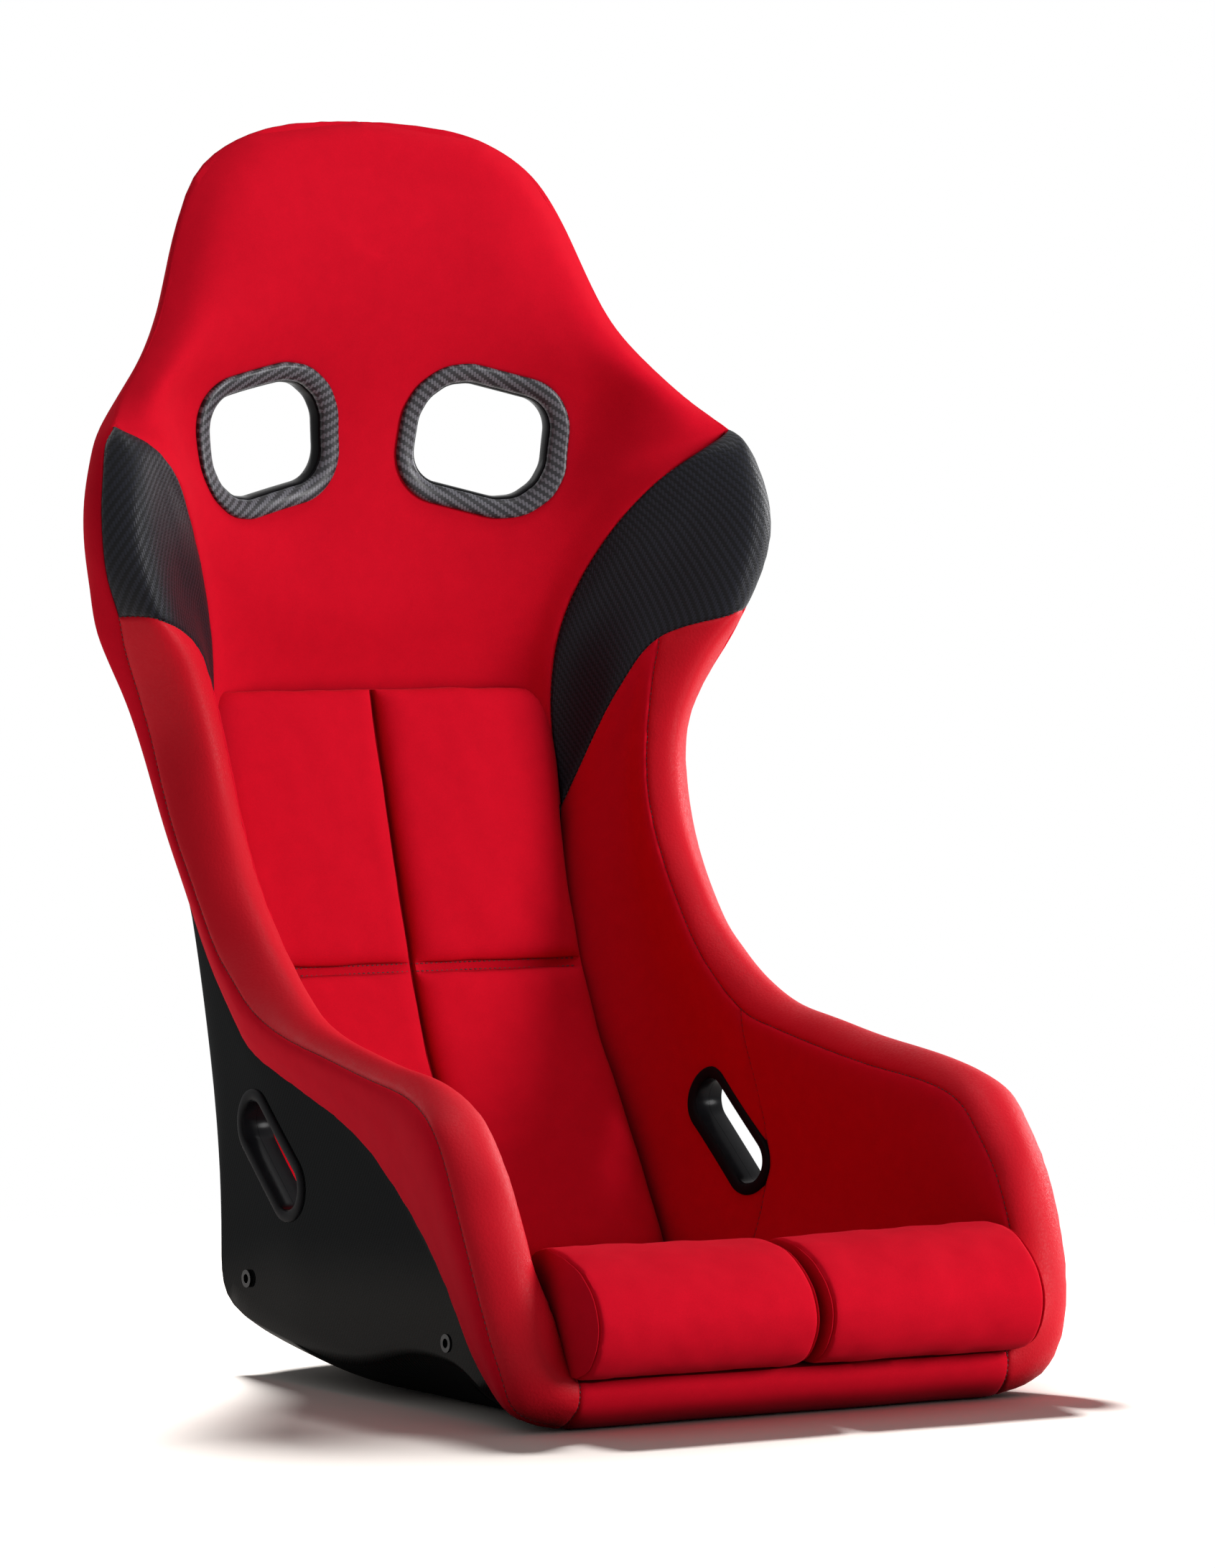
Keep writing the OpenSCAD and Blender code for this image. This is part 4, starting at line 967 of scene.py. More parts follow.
def under(face, n, over, hemmed):
    """Back of a cover panel. A hemmed one thins towards its last column."""
    thin = np.clip((over[:, -1:] - over) / HEM_RUN, 0, 1) if hemmed else 1
    thick = np.broadcast_to(HEM_EDGE_T + (COVER_T - HEM_EDGE_T) * thin, over.shape)
    return above(face - n * thick[..., None], COVER_CLEAR)


def hung(face):
    """Places on cloth whose weave is level and starts from the last column."""
    over = lengths(face, 1)
    return np.stack([over - over[:, -1:], face[..., 2]], axis=-1)


def make_rim_panels(kind, seed):
    first, last, across, key, edges = RIM_PANELS[kind]
    grid = even_grid(cover_rows, first, last, across)
    for name, side in SIDES.items():
        face, n, over = sewn(grid, seed + side + 1, edges, pucker=0.3)
        piece = slab(f"{kind}_cover_{name}", face, under(face, n, over, across[1] == HEM),
                     side, plan=hung if key == "vinyl" else None)
        cutters = []
        if kind in ("thigh_side", "upper_side"):
            cutters.append(prism("lap", SLEEVE, side))
        if kind == "thigh_side":
            cutters += [pocket(y, z, side) for y, z in MOUNTS]
        if cutters:
            cut(piece, cutters)
        finish_piece(piece, *look(key), (f"{kind}_{name}",), fill=0.9)


def make_shell():
    half = np.concatenate([np.linspace(k, k + 1, count)[k > 0:]
                           for k, count in enumerate(SHELL_COLUMNS)])
    across = np.concatenate([-half[:0:-1], half])
    places = np.arange(TOP * SHELL_ROWS + 1) / SHELL_ROWS
    piece = slab("moulded_shell", above(inside(places, across), SHELL_T / 2),
                 outside(places, across), merge=WELD, ends="",
                 plan=lambda f: np.stack([f[..., 0] + f[..., 1], f[..., 2]], axis=-1))
    cutters = [prism("crotch", SLEEVE)]
    for side in SIDES.values():
        cutters += [prism("shoulder", SLEEVE, side), prism("lap", SLEEVE, side)]
        cutters += [pocket(y, z, side) for y, z in MOUNTS]
    cut(piece, cutters)
    finish_piece(piece, *look("gel"), ("shell",))


def lining_grid(depth):
    places = np.arange(WING_FOOT * LINING_ROWS + 1) / LINING_ROWS
    return inside(places, np.linspace(-LINING_HALF, LINING_HALF, 47), depth)


def make_lining():
    face = lining_grid(SHELL_T + LINER_T)
    face = face + normals(face) * lumps(face, *LINING_WAVES)[..., None]
    back = lining_grid(SHELL_T + LINING_CLEAR)
    piece = slab("pan_lining", above(face, SHELL_T + LINER_T), above(back, SHELL_T),
                 merge=WELD, ends="l")
    cut(piece, [prism("crotch", SLEEVE)])
    finish_piece(piece, *look("felt"), ("base_liner",))


def head_grid():
    return even_grid(front_rows, WING_FOOT, TOP, (0, 8), step=6)


def make_head_cover():
    grid = head_grid()
    face, n, _ = sewn(grid, **HEAD_SEWING)
    piece = slab("head_and_back_cover", face, grid - n * COVER_T, merge=WELD, ends="f")
    cut(piece, [prism("shoulder", SLEEVE, side) for side in SIDES.values()])
    finish_piece(piece, *look("suede"), ("head_cover",), fill=0.9)


def make_lip_cover():
    grid = even_grid(cover_rows, -LIP_END, LIP_END, (0, 6), step=6)
    face, n, over = sewn(grid, 50, "flt", pucker=0.4)
    piece = slab("front_lip_cover", face, under(face, n, over, True))
    finish_piece(piece, *look("suede"), ("lip_cover",), fill=0.9)


def rounded(distance, radius):
    """Quarter-round rise from 0 at an edge to 1 at a radius from it."""
    return np.sqrt(1 - (1 - np.clip(distance / radius, 0, 1)) ** 2)


# Back cushion: sizes, the depth of its channels at each height, and how much wider than
# half its width it is at each height
BACK_HALF_W, BACK_FOOT_Z, BACK_CROSS_Z, BACK_TOP_Z = 155, 64, 284, 493
BACK_WEB_Y = [(60, 418), (92, 432), (201, 486), (239, 505), (284, 520), (363, 545),
              (428, 564), (493, 583)]
BACK_CROWN, BACK_WRAP, BACK_CORNER_R, BACK_BELLY = 14, 6, 28, 4
BACK_EASE = [(64, 7), (128, 4), (180, 0), (223, -3.5), (284, -7.5), (337, -9), (405, -5),
             (470, 0)]
CHANNEL_HALF, BAND_HALF, BAND_RISE = 1.6, 3.6, 5
CHANNEL_ROUND, BAND_ROUND, BELLY_ROUND, BELLY_WIDTH = 17, 13, 60, 150
BACK_THINNEST, BACK_GAP = 4, 1  # least depth of the cushion, and the air behind it
BACK_RAY, FAR = 90, 1e4
BACK_UNDER, BACK_AIM = 0.985, 0.97  # width behind the face, and of the rays that feel it
BACK_SLACK, BACK_TIGHT = (0.5, 34, 60), (0.25, 13, 61)  # waves, and small ones at seams


def web_y(z):
    """Depth of the back cushion's channels, with the corners of the table eased."""
    table = np.array(BACK_WEB_Y, float)
    return sum(np.interp(z + d, table[:, 0], table[:, 1]) for d in range(-20, 21, 5)) / 9


def back_front(x, z):
    """Front of the back cushion: four pads, round a sewn cross."""
    corner = np.clip(z - (BACK_TOP_Z - BACK_CORNER_R), 0, BACK_CORNER_R)
    half = BACK_HALF_W - BACK_CORNER_R + np.sqrt(BACK_CORNER_R ** 2 - corner ** 2)
    half = half + np.interp(z, *zip(*BACK_EASE))
    x = x * half / BACK_HALF_W
    edge_x = np.minimum(np.abs(x) - CHANNEL_HALF, (half - np.abs(x)) * 0.8)
    lower = z < BACK_CROSS_Z
    low = np.where(lower, BACK_FOOT_Z, BACK_CROSS_Z + BAND_HALF)
    high = np.where(lower, BACK_CROSS_Z - BAND_HALF, BACK_TOP_Z)
    edge_z = np.minimum(z - low, high - z)
    rise = BACK_CROWN * rounded(edge_x, CHANNEL_ROUND)
    band = np.minimum(BAND_RISE, rise)
    rise = band + (rise - band) * rounded(edge_z, BAND_ROUND)
    arch = np.sin(math.pi * np.clip(edge_x / BELLY_WIDTH, 0, 1))
    belly = BACK_BELLY * np.clip(arch, 0, 1) ** 0.7
    rise = rise + belly * rounded(edge_z, BELLY_ROUND)
    y = web_y(z) - rise - BACK_WRAP * (x / BACK_HALF_W) ** 2
    return np.stack([x, y, z], axis=-1)


def make_back_cushion():
    pad = stations(BACK_HALF_W - CHANNEL_HALF, 22) + CHANNEL_HALF
    x = np.concatenate([-pad[::-1], pad])
    z = np.concatenate([
        BACK_FOOT_Z + stations(BACK_CROSS_Z - BAND_HALF - BACK_FOOT_Z, 26),
        BACK_CROSS_Z + np.linspace(-BAND_HALF, BAND_HALF, 7)[1:-1],
        BACK_CROSS_Z + BAND_HALF + stations(BACK_TOP_Z - BACK_CROSS_Z - BAND_HALF, 28)])
    grid = back_front(*np.meshgrid(x, z))
    depth = (web_y(grid[..., 2]) - grid[..., 1]) / BACK_CROWN
    tight = 1 - np.clip(depth, 0, 1)
    pull = lumps(grid * (1, 1, 0.6), *BACK_SLACK) + lumps(grid, *BACK_TIGHT) * tight
    face = grid + normals(grid) * (pull * np.clip(depth * 2, 0.2, 1))[..., None]
    behind = inside(np.linspace(LIP_END, WING_FOOT + 2, 90), np.linspace(-1.4, 1.4, 41),
                    SHELL_T + LINER_T)
    rest = [grid_tree(behind), grid_tree(head_grid())]
    back = face * (BACK_UNDER, 1, 1)
    for at in np.ndindex(face.shape[:2]):
        x, y, z = face[at]
        start = (x * BACK_AIM, y - BACK_RAY, z)
        wall = min(drop(tree, start, (0, 1, 0), (0, FAR, 0))[1] for tree in rest)
        if wall == FAR:
            raise RuntimeError(f"nothing behind the back cushion at {x:.0f}, {z:.0f}")
        back[at][1] = max(wall - BACK_GAP, y + BACK_THINNEST)
    piece = slab("back_cushion_pads", face, back)
    finish_piece(piece, *look("suede"), ("back_cushion",), fill=0.8)


# Seat cushion
SEAT_FRONT_Y, SEAT_BACK_Y, SEAT_HALF_W, SEAT_UNDER_W = 52, 424, 172, 156
SEAT_EDGE_Z, SEAT_CROWN, SEAT_BELLY, SEAT_FALL = 64, 13, 4, 12
SEAT_EDGE_ROUND, SEAT_BELLY_ROUND, SEAT_WAVES = 24, 160, (0.7, 45, 70)
SEAT_UNDER_Z = [(52, 12), (300, 12), (360, 18), (424, 44)]


def seat_top(x, y):
    edge_x = SEAT_HALF_W - np.abs(x)
    edge_y = np.minimum(y - SEAT_FRONT_Y, 4 * (SEAT_BACK_Y - y))
    rise = SEAT_CROWN * rounded(edge_x, SEAT_EDGE_ROUND) * rounded(edge_y, SEAT_EDGE_ROUND)
    rise = rise + SEAT_BELLY * np.cos(x / SEAT_HALF_W) * rounded(edge_y, SEAT_BELLY_ROUND)
    rise = rise - SEAT_FALL * ((y - SEAT_FRONT_Y) / (SEAT_BACK_Y - SEAT_FRONT_Y)) ** 2
    return np.stack([x, y, SEAT_EDGE_Z + rise], axis=-1)


def make_seat_cushion():
    x = stations(2 * SEAT_HALF_W, 40) - SEAT_HALF_W
    y = SEAT_FRONT_Y + stations(SEAT_BACK_Y - SEAT_FRONT_Y, 42)
    grid = seat_top(*np.meshgrid(x, y))
    face = grid.copy()
    face[..., 2] += lumps(grid, *SEAT_WAVES)
    back = face.copy()
    share = face[..., 0] / SEAT_HALF_W
    back[..., 0] = share * SEAT_UNDER_W
    back[..., 2] = np.interp(face[..., 1], *zip(*SEAT_UNDER_Z)) + 2 * share ** 2
    piece = slab("seat_cushion_pad", face, back)
    cut(piece, [prism("crotch", 0)])
    finish_piece(piece, *look("suede"), ("seat_cushion",), fill=0.8)


# Thigh rolls
ROLL_PROFILE = [(44, 100), (36, 114), (20, 120), (0, 119.5), (-20, 115), (-38, 105),
                (-52, 91), (-58.5, 74), (-55, 57), (-44, 43), (-28, 37), (-8, 37),
                (12, 37), (30, 37), (44, 40)]
ROLL_CENTRE = np.array([-6, 78.0])
ROLL_START, ROLL_LENGTH, ROLL_DOME, ROLL_SWELL = 0.3, 190, 5, (0.02, 0.055)
ROLL_FLOOR = 37.2  # height of the flat underside
ROLL_CAP = np.array([0.02, 0.2, 0.4, 0.6, 0.75, 0.87, 0.95, 1.0])  # loops over an end
ROLL_CAP_SIZE, ROLL_GROOVE, ROLL_TAPER = 0.95, 0.06, 0.035  # shares of the outline
GROOVE_AT, GROOVE_WIDTH, TAPER_FADE = 1.5, 1.0, 5
ROLL_WAVES, ROLL_RIPPLES = (0.7, 42), (0.25, 15)


def roll_outline(count=84):
    loop = np.array([(0, y, z) for y, z in ROLL_PROFILE], float)
    return curve(np.concatenate([loop, loop[:1]]), np.linspace(0, len(loop), count + 1),
                 loop[-1], loop[1])[:-1, 1:]


def roll_loops(seed):
    """Loops from one end's middle over its edge, along the body and down the other end."""
    flat = roll_outline() - ROLL_CENTRE
    body = stations(ROLL_LENGTH - 2 * ROLL_DOME, 22)
    near = np.minimum(body, body[-1] - body)[1:-1]
    groove = ROLL_GROOVE * np.exp(-((near - GROOVE_AT) / GROOVE_WIDTH) ** 2)
    taper = ROLL_TAPER * np.exp(-near / TAPER_FADE)
    dome, cap = ROLL_DOME * ROLL_CAP ** 2, ROLL_CAP_SIZE * ROLL_CAP
    x = np.concatenate([dome, ROLL_DOME + body[1:-1], ROLL_LENGTH - dome[::-1]])
    scale = np.concatenate([cap, 1 - groove - taper, cap[::-1]])[:, None, None]
    out = np.stack([np.c_[np.zeros(len(flat)), flat]] * len(x))
    loops = out * scale + (0, *ROLL_CENTRE)
    loops[..., 0] = ROLL_START + x[:, None]
    bumps = lumps(loops * (1, 0.6, 0.6), *ROLL_WAVES, seed)
    bumps = bumps + lumps(loops, *ROLL_RIPPLES, seed + 1)
    loops = loops + unit(out) * bumps[..., None] * scale
    swell = 1 + np.interp(loops[..., 0], (0, ROLL_LENGTH), ROLL_SWELL)
    loops[..., 2] = ROLL_FLOOR + np.maximum(loops[..., 2] - ROLL_FLOOR, 0) * swell
    return loops


def make_thigh_rolls():
    for name, side in SIDES.items():
        piece = rings(f"thigh_roll_pad_{name}", roll_loops(80 + side), 0.01, side=side)
        finish_piece(piece, *look("suede"), (f"thigh_roll_{name}",), fill=0.9)


# Harness bezels: profiles as distance from the opening's edge and rise off the surface;
# None stands for the middle of the wall, where two sleeves meet
RIM_SHOULDER = [(16, -2), (16, 1), (15.6, 2.7), (14.2, 4.2), (12, 5), (9, 5.4),
                (6, 5.2), (3.6, 4.4), (2.4, 3.2), (1.8, 1.6), (1.8, -2)]
SLEEVE_SHOULDER = [(1.8, 0.6), (1.2, 0.9), (0.6, 0.2), (0, -2), (0, None), (2.2, None),
                   (2.2, -2.4), (1.8, -2.4)]
RIM_LAP = [(9, -1.5), (9, 0.6), (8.6, 1.5), (7.6, 2.1), (5.4, 2.4), (3.4, 2.3), (1.8, 1.9),
           (0.9, 1), (0.8, -1.5)]
SLEEVE_LAP = [(0.8, 0.7), (0.3, 0.9), (0, 0.3), (0, None), (2.2, None), (2.2, -1.6),
              (0.8, -1.6)]


BEZEL_RAY = 160  # where rays start, from the outline's own plane
MEETING = 0.495  # the share of the wall that each sleeve goes through


def bezel(name, kind, profile, here, there, way, side):
    """Moulded ring round an opening, laid on the surface that rays along way meet."""
    spec = OPENINGS[kind]
    way = np.asarray(way, float)
    loops = []
    for out, rise in profile:
        row = opening_loop(spec, out, 0)
        on = np.array([drop(here, p - BEZEL_RAY * way, way) for p in row])
        if rise is None:
            off = np.array([drop(there, p + BEZEL_RAY * way, -way) for p in row])
            loops.append(on + (off - on) * MEETING)
        else:
            loops.append(on - rise * way)
    return rings(name, np.array(loops).transpose(1, 0, 2), 0.001, True, side,
                 plan=lambda loops: ((loops - spec["at"]) @ spec["axes"])[..., :2])


def plastic(key):
    """Matt skin for the rims and a shinier one for the sleeves."""
    name, rough = {"rim": ("Textured black plastic", 0.62),
                   "sleeve": ("Smooth black plastic", 0.22)}[key]
    colour = tuple(bpy.context.scene.seat_colours.lap_bezel)
    made = bpy.data.materials.get(name) or textured_plastic(name, colour, rough)
    return made, "bezel_black"


def make_bezels(kind, way, surfaces, rim, rim_look, sleeve):
    """A ring and its sleeve on each face of both openings of a kind."""
    faces = tuple(surfaces)
    for name, side in SIDES.items():
        for face, other, along in ((*faces, way), (*faces[::-1], -way)):
            meets = surfaces[face], surfaces[other], along, side
            ring = bezel(f"{kind}_bezel_{face}_ring_{name}", kind, rim, *meets)
            finish_piece(ring, *rim_look, (f"{kind}_bezel_{face}_{name}",))
            inner = bezel(f"{kind}_sleeve_{face}_{name}", kind, sleeve, *meets)
            finish_piece(inner, *plastic("sleeve"))


def make_shoulder_bezels():
    front = grid_tree(sewn(head_grid(), **HEAD_SEWING)[0])
    rear = grid_tree(outside(np.linspace(WING_FOOT + 1, TOP - 1, 60),
                             np.linspace(-2, 2, 61)))
    make_bezels("shoulder", -shoulder_axes()[:, 2], {"front": front, "rear": rear},
                RIM_SHOULDER, look("bezel"), SLEEVE_SHOULDER)


def make_lap_bezels():
    places = np.linspace(NOTCH - 5, NOTCH + 5, 60)
    inner = grid_tree(surface(cover_rows, places, np.linspace(0, 2, 50)))
    outer = grid_tree(outside(places, np.linspace(1.6, 3.2, 50)))
    make_bezels("lap", np.array([1.0, 0, 0]), {"inner": inner, "outer": outer}, RIM_LAP,
                plastic("rim"), SLEEVE_LAP)


# Stitching: a stitch's rings as share of its length and of its radius, how far its ends
# dip in radii, and how far stitches lie under the seam's line and over the band
STITCH = [(-0.5, 0.3), (-0.42, 0.85), (0, 1.0), (0.42, 0.85), (0.5, 0.3)]
STITCH_AROUND, STITCH_DIP, SEAM_SINK, BAND_SINK = 6, 1.6, 1.9, -0.1
BAND_END, BAND_INSET = 6, 0.8  # the band's rows of stitches stop short of its edges


def seam(first, last, t):
    """Seam along the loft: its points and the directions that the cover faces there."""
    grid = surface(cover_rows, np.linspace(first, last, 500), [t - 0.06, t, t + 0.06])
    return grid[:, 1], normals(grid)[:, 1]


def cross_seam(place, first, last):
    grid = surface(cover_rows, [place - NEAR, place, place + NEAR],
                   np.linspace(first, last, 160))
    return grid[1], normals(grid)[1]


def stitches(name, path, way, sink, side=1):
    """Short thread capsules along a path, one mesh."""
    sizes = bpy.context.scene.seat_sizes
    pitch, size, radius = (v / MM for v in (sizes.stitch_pitch, sizes.stitch_length,
                                            sizes.thread_radius))
    run = lengths(path[:, None], 0)[:, 0]
    at = np.arange(pitch / 2, run[-1], pitch)
    up = unit(resampled(at, run, way))
    tangent = unit(resampled(at, run, np.gradient(path, axis=0)))
    rows = resampled(at, run, path), up, tangent, unit(np.cross(up, tangent))
    one = tube_faces(len(STITCH), STITCH_AROUND)
    turn = np.linspace(0, 2 * math.pi, STITCH_AROUND, endpoint=False)
    points, faces = [], []
    for c, u, t, a in zip(*rows):
        faces += [[len(points) + v for v in face] for face in one]
        for s, r in STITCH:
            spot = c + t * s * size - u * (sink + STITCH_DIP * radius * (2 * s) ** 2)
            for k in turn:
                points.append(spot + r * radius * (math.cos(k) * a + math.sin(k) * u))
    return new_piece(name, np.array(points), faces, side=side, merge=0.0)


def make_stitching():
    for name, side in SIDES.items():
        runs = {
            "facing_outer": (seam(LIP_END, WING_FOOT, 4), "seam_thread"),
            "facing_inner": (seam(LIP_END, WING_FOOT, 2), "seam_thread"),
            "side_joint": (cross_seam(NOTCH, 0, 2), "seam_thread"),
            "wing_outer": (seam(WING_FOOT, WING_TOP - 0.3, 3.96), "dark_thread"),
            "wing_foot": (cross_seam(WING_FOOT, 0, 4), "dark_thread"),
            "wing_inner": (seam(WING_FOOT, WING_TOP - 0.1, 0.01), "dark_thread"),
            "lip_end": (cross_seam(LIP_END, 1, 6), "seam_thread"),
        }
        for key, (path_and_way, colour) in runs.items():
            piece = stitches(f"stitching_{key}_{name}", *path_and_way, SEAM_SINK, side)
            finish_piece(piece, *look(colour))
    rows = []
    x = np.linspace(BAND_END - BACK_HALF_W, BACK_HALF_W - BAND_END, 300)
    way = np.tile((0, -1.0, 0.2), (len(x), 1))
    for z in (BAND_INSET - BAND_HALF, BAND_HALF - BAND_INSET):
        path = back_front(x, np.full_like(x, BACK_CROSS_Z + z))
        rows.append(stitches("stitch_row", path, way, BAND_SINK))
    finish_piece(join("stitching_back_band", rows), *look("seam_thread"))


# --------------------------------------------------------------------------
# Stage

CAMERA_AT = (-2.8307, -4.6465, 0.6537)
CAMERA_TURN, CAMERA_DIP = -31.59, 2.34  # degrees from +Y, and below the horizon
CAMERA_LENS = 171.4
# Lamps: place, what each is aimed at, size and power
LAMPS = {
    "key": ((2.2, -2.5, 1.05), (0, 0, 0.4), 1.2, 96),
    "right": ((3.1, 0.6, 1.1), (0, 0.1, 0.5), 1.2, 46),
    "top": ((0.4, -0.3, 3.0), (0, 0.1, 0.5), 1.6, 27),
    "fill": ((-3.2, -2.6, 1.6), (0, 0, 0.4), 2.4, 3),
    "rear": ((-0.9, 2.8, 2.0), (0, 0.2, 0.5), 1.8, 10),
}
# The floor has a wide lamp of its own, whose shadow stays close under the seat
FLOOR_LAMP = ((0.55, 2.6, 4.0), (0, 0, 0), 0.9, 350)
FLOOR_HALF, FLOOR_CLEAR = 30, 0.0006  # the paper lies just clear of the shell
FLOOR_BOUNCE, FLOOR_GAIN = 0.65, (1.3, 1.22, 1.17)
SHADOW_REACH = (0.65, 1.25)  # metres from the middle over which the floor turns white
SKY_SEEN, SKY_LIGHT = 1.0, 0.14


def aimed(name, data, place, ahead):
    """Object in the scene that looks ahead from its place."""
    holder = bpy.data.objects.new(name, data)
    holder.location = place
    holder.rotation_euler = Vector(ahead).to_track_quat("-Z", "Y").to_euler()
    bpy.context.collection.objects.link(holder)
    return holder


def softbox(name, place, aim, size, power):
    lamp = bpy.data.lights.new(f"{name}_softbox", "AREA")
    lamp.shape, lamp.size, lamp.energy = "DISK", size, power
    return aimed(lamp.name, lamp, place, Vector(aim) - Vector(place))


def make_stage():
    turn, dip = math.radians(-CAMERA_TURN), math.radians(CAMERA_DIP)
    ahead = math.sin(turn) * math.cos(dip), math.cos(turn) * math.cos(dip), -math.sin(dip)
    camera = aimed("camera", bpy.data.cameras.new("camera"), CAMERA_AT, ahead)
    camera.data.lens, camera.data.sensor_width = CAMERA_LENS, 36
    camera.data.clip_end = 100
    bpy.context.scene.camera = camera
    mesh = bpy.data.meshes.new("studio_floor")
    h = FLOOR_HALF
    mesh.from_pydata([(-h, -h, 0), (h, -h, 0), (h, h, 0), (-h, h, 0)], [], [(0, 1, 2, 3)])
    floor = bpy.data.objects.new("studio_floor", mesh)
    floor.location.z = -FLOOR_CLEAR
    bpy.context.collection.objects.link(floor)
    mesh.materials.append(pale_floor("Pale studio floor", linear("#FAFAF8")))
    groups = {}
    for state in ("INCLUDE", "EXCLUDE"):
        groups[state] = bpy.data.collections.new(f"floor_{state.lower()}d")
        groups[state].objects.link(floor)
        groups[state].collection_objects[0].light_linking.link_state = state
    softbox("floor", *FLOOR_LAMP).light_linking.receiver_collection = groups["INCLUDE"]
    for name, spec in LAMPS.items():
        softbox(name, *spec).light_linking.receiver_collection = groups["EXCLUDE"]
    world = bpy.data.worlds.new("studio")
    bpy.context.scene.world = world
    world.use_nodes = True
    world.node_tree.nodes.clear()
    seen = seen_rays(world)
    strength = add(world, "MapRange", {"Value": seen, "To Min": SKY_LIGHT,
                                       "To Max": SKY_SEEN})
    sky = add(world, "Background", {"Color": (1, 1, 1), "Strength": strength})
    add(world, "OutputWorld", {"Surface": sky})
    bpy.context.scene.view_settings.view_transform = "Standard"


# --------------------------------------------------------------------------
# Add-on


class SeatSizes(bpy.types.PropertyGroup):
    stitch_pitch: bpy.props.FloatProperty(
        name="Stitch pitch", description="Distance from one stitch to the next",
        default=4.2 * MM, unit="LENGTH")
    stitch_length: bpy.props.FloatProperty(
        name="Stitch length", description="Length of thread that shows in one stitch",
        default=2.9 * MM, unit="LENGTH")
    thread_radius: bpy.props.FloatProperty(
        name="Thread radius", description="Radius of the sewing thread",
        default=0.42 * MM, unit="LENGTH")


def colour_property(label, description, colour):
    return bpy.props.FloatVectorProperty(name=label, description=description, size=3,
                                         subtype="COLOR", min=0, max=1,
                                         default=linear(colour))


class SeatColours(bpy.types.PropertyGroup):
    suede: colour_property("Suede knit", "Colour of the matt cover cloth", "#CE0D24")
    leathercloth: colour_property("Leathercloth", "Colour of the bolster facings",
                                  "#CB0F22")
    vinyl: colour_property("Vinyl", "Colour of the wing panels", "#13141A")
    bezel: colour_property("Shoulder bezels", "Colour of the bezels' raised threads",
                           "#5A5A60")
    lap_bezel: colour_property("Lap bezels", "Colour of the plastic round the lap slots",
                               "#101012")
    gel: colour_property("Shell", "Colour of the fibre under the gel coat", "#090A0B")
    felt: colour_property("Lining", "Colour of the felt in the pan", "#19191B")
    metal: colour_property("Metal", "Colour of the mounts", "#1E1F21")
    seam_thread: colour_property("Red thread", "Colour of the cover's thread", "#4A0A10")
    dark_thread: colour_property("Black thread", "Colour of the wing panels' thread",
                                 "#0C0C0E")


class SEAT_OT_shell(bpy.types.Operator):
    """Moulds the shell and lays the lining in its pan"""
    bl_idname = "seat.shell"
    bl_label = "Shell and lining"

    def execute(self, context):
        make_shell()
        make_lining()
        return {"FINISHED"}


class SEAT_OT_rim_covers(bpy.types.Operator):
    """Sews the side walls, bolster facings, wing panels and outer bands"""
    bl_idname = "seat.rim_covers"
    bl_label = "Side covers"

    def execute(self, context):
        for place, kind in enumerate(RIM_PANELS):
            make_rim_panels(kind, 10 * place)
        return {"FINISHED"}


class SEAT_OT_head_cover(bpy.types.Operator):
    """Covers the upper back and the head"""
    bl_idname = "seat.head_cover"
    bl_label = "Head cover"

    def execute(self, context):
        make_head_cover()
        return {"FINISHED"}


class SEAT_OT_lip_cover(bpy.types.Operator):
    """Covers the front lip"""
    bl_idname = "seat.lip_cover"
    bl_label = "Lip cover"

    def execute(self, context):
        make_lip_cover()
        return {"FINISHED"}


class SEAT_OT_cushions(bpy.types.Operator):
    """Makes the back cushion, the seat cushion and the two thigh rolls"""
    bl_idname = "seat.cushions"
    bl_label = "Loose cushions"

    def execute(self, context):
        make_back_cushion()
        make_seat_cushion()
        make_thigh_rolls()
        return {"FINISHED"}


class SEAT_OT_bezels(bpy.types.Operator):
    """Moulds the bezels of the shoulder and lap openings"""
    bl_idname = "seat.bezels"
    bl_label = "Harness bezels"

    def execute(self, context):
        make_shoulder_bezels()
        make_lap_bezels()
        return {"FINISHED"}


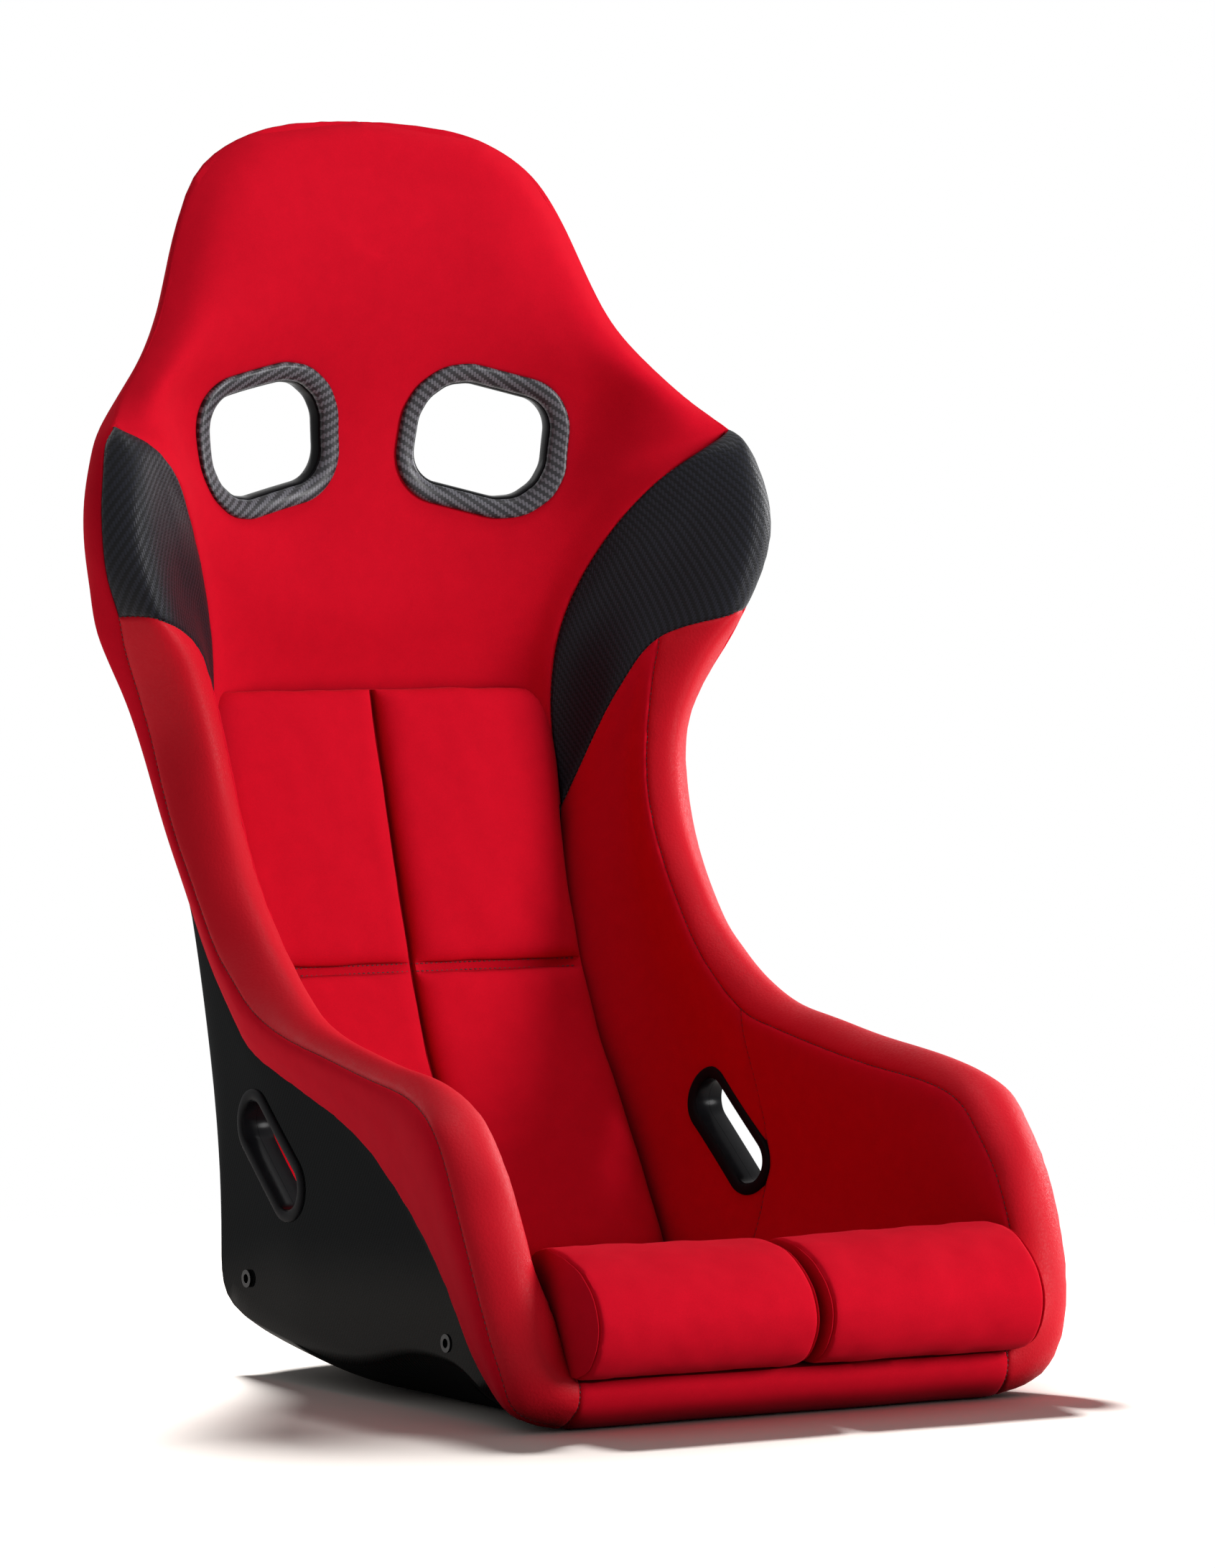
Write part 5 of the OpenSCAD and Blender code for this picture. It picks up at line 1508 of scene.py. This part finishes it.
class SEAT_OT_hardware(bpy.types.Operator):
    """Finishes the frame's own metal and the crotch bezel"""
    bl_idname = "seat.hardware"
    bl_label = "Mounts"

    def execute(self, context):
        for node in ("side_plate_left", "side_plate_right", "mount_inserts"):
            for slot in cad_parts[node].material_slots:
                slot.material = look("metal")[0]
        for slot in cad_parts["crotch_bezel"].material_slots:
            slot.material = plastic("rim")[0]
        return {"FINISHED"}


class SEAT_OT_stitching(bpy.types.Operator):
    """Sews the seams"""
    bl_idname = "seat.stitching"
    bl_label = "Stitching"

    def execute(self, context):
        make_stitching()
        return {"FINISHED"}


class SEAT_OT_stage(bpy.types.Operator):
    """Sets the floor, the lamps and the camera"""
    bl_idname = "seat.stage"
    bl_label = "Stage"

    def execute(self, context):
        make_stage()
        return {"FINISHED"}


OPERATORS = (SEAT_OT_stage, SEAT_OT_shell, SEAT_OT_rim_covers, SEAT_OT_head_cover,
             SEAT_OT_lip_cover, SEAT_OT_cushions, SEAT_OT_bezels, SEAT_OT_hardware,
             SEAT_OT_stitching)


class SEAT_PT_panel(bpy.types.Panel):
    """Lists the seat's steps, sizes and colours"""
    bl_idname = "SEAT_PT_panel"
    bl_label = "Bucket seat"
    bl_space_type = "VIEW_3D"
    bl_region_type = "UI"
    bl_category = "Seat"

    def draw(self, context):
        for operator in OPERATORS:
            self.layout.operator(operator.bl_idname)
        for group in (context.scene.seat_sizes, context.scene.seat_colours):
            for key in group.bl_rna.properties.keys():
                if key not in ("rna_type", "name"):
                    self.layout.prop(group, key)


CLASSES = (SeatSizes, SeatColours) + OPERATORS + (SEAT_PT_panel,)


def register():
    for cls in CLASSES:
        bpy.utils.register_class(cls)
    bpy.types.Scene.seat_sizes = bpy.props.PointerProperty(type=SeatSizes)
    bpy.types.Scene.seat_colours = bpy.props.PointerProperty(type=SeatColours)


def unregister():
    del bpy.types.Scene.seat_sizes
    del bpy.types.Scene.seat_colours
    for cls in reversed(CLASSES):
        bpy.utils.unregister_class(cls)


def main():
    register()
    for operator in OPERATORS:
        group, name = operator.bl_idname.split(".")
        getattr(getattr(bpy.ops, group), name)()


if __name__ == "__main__":
    main()
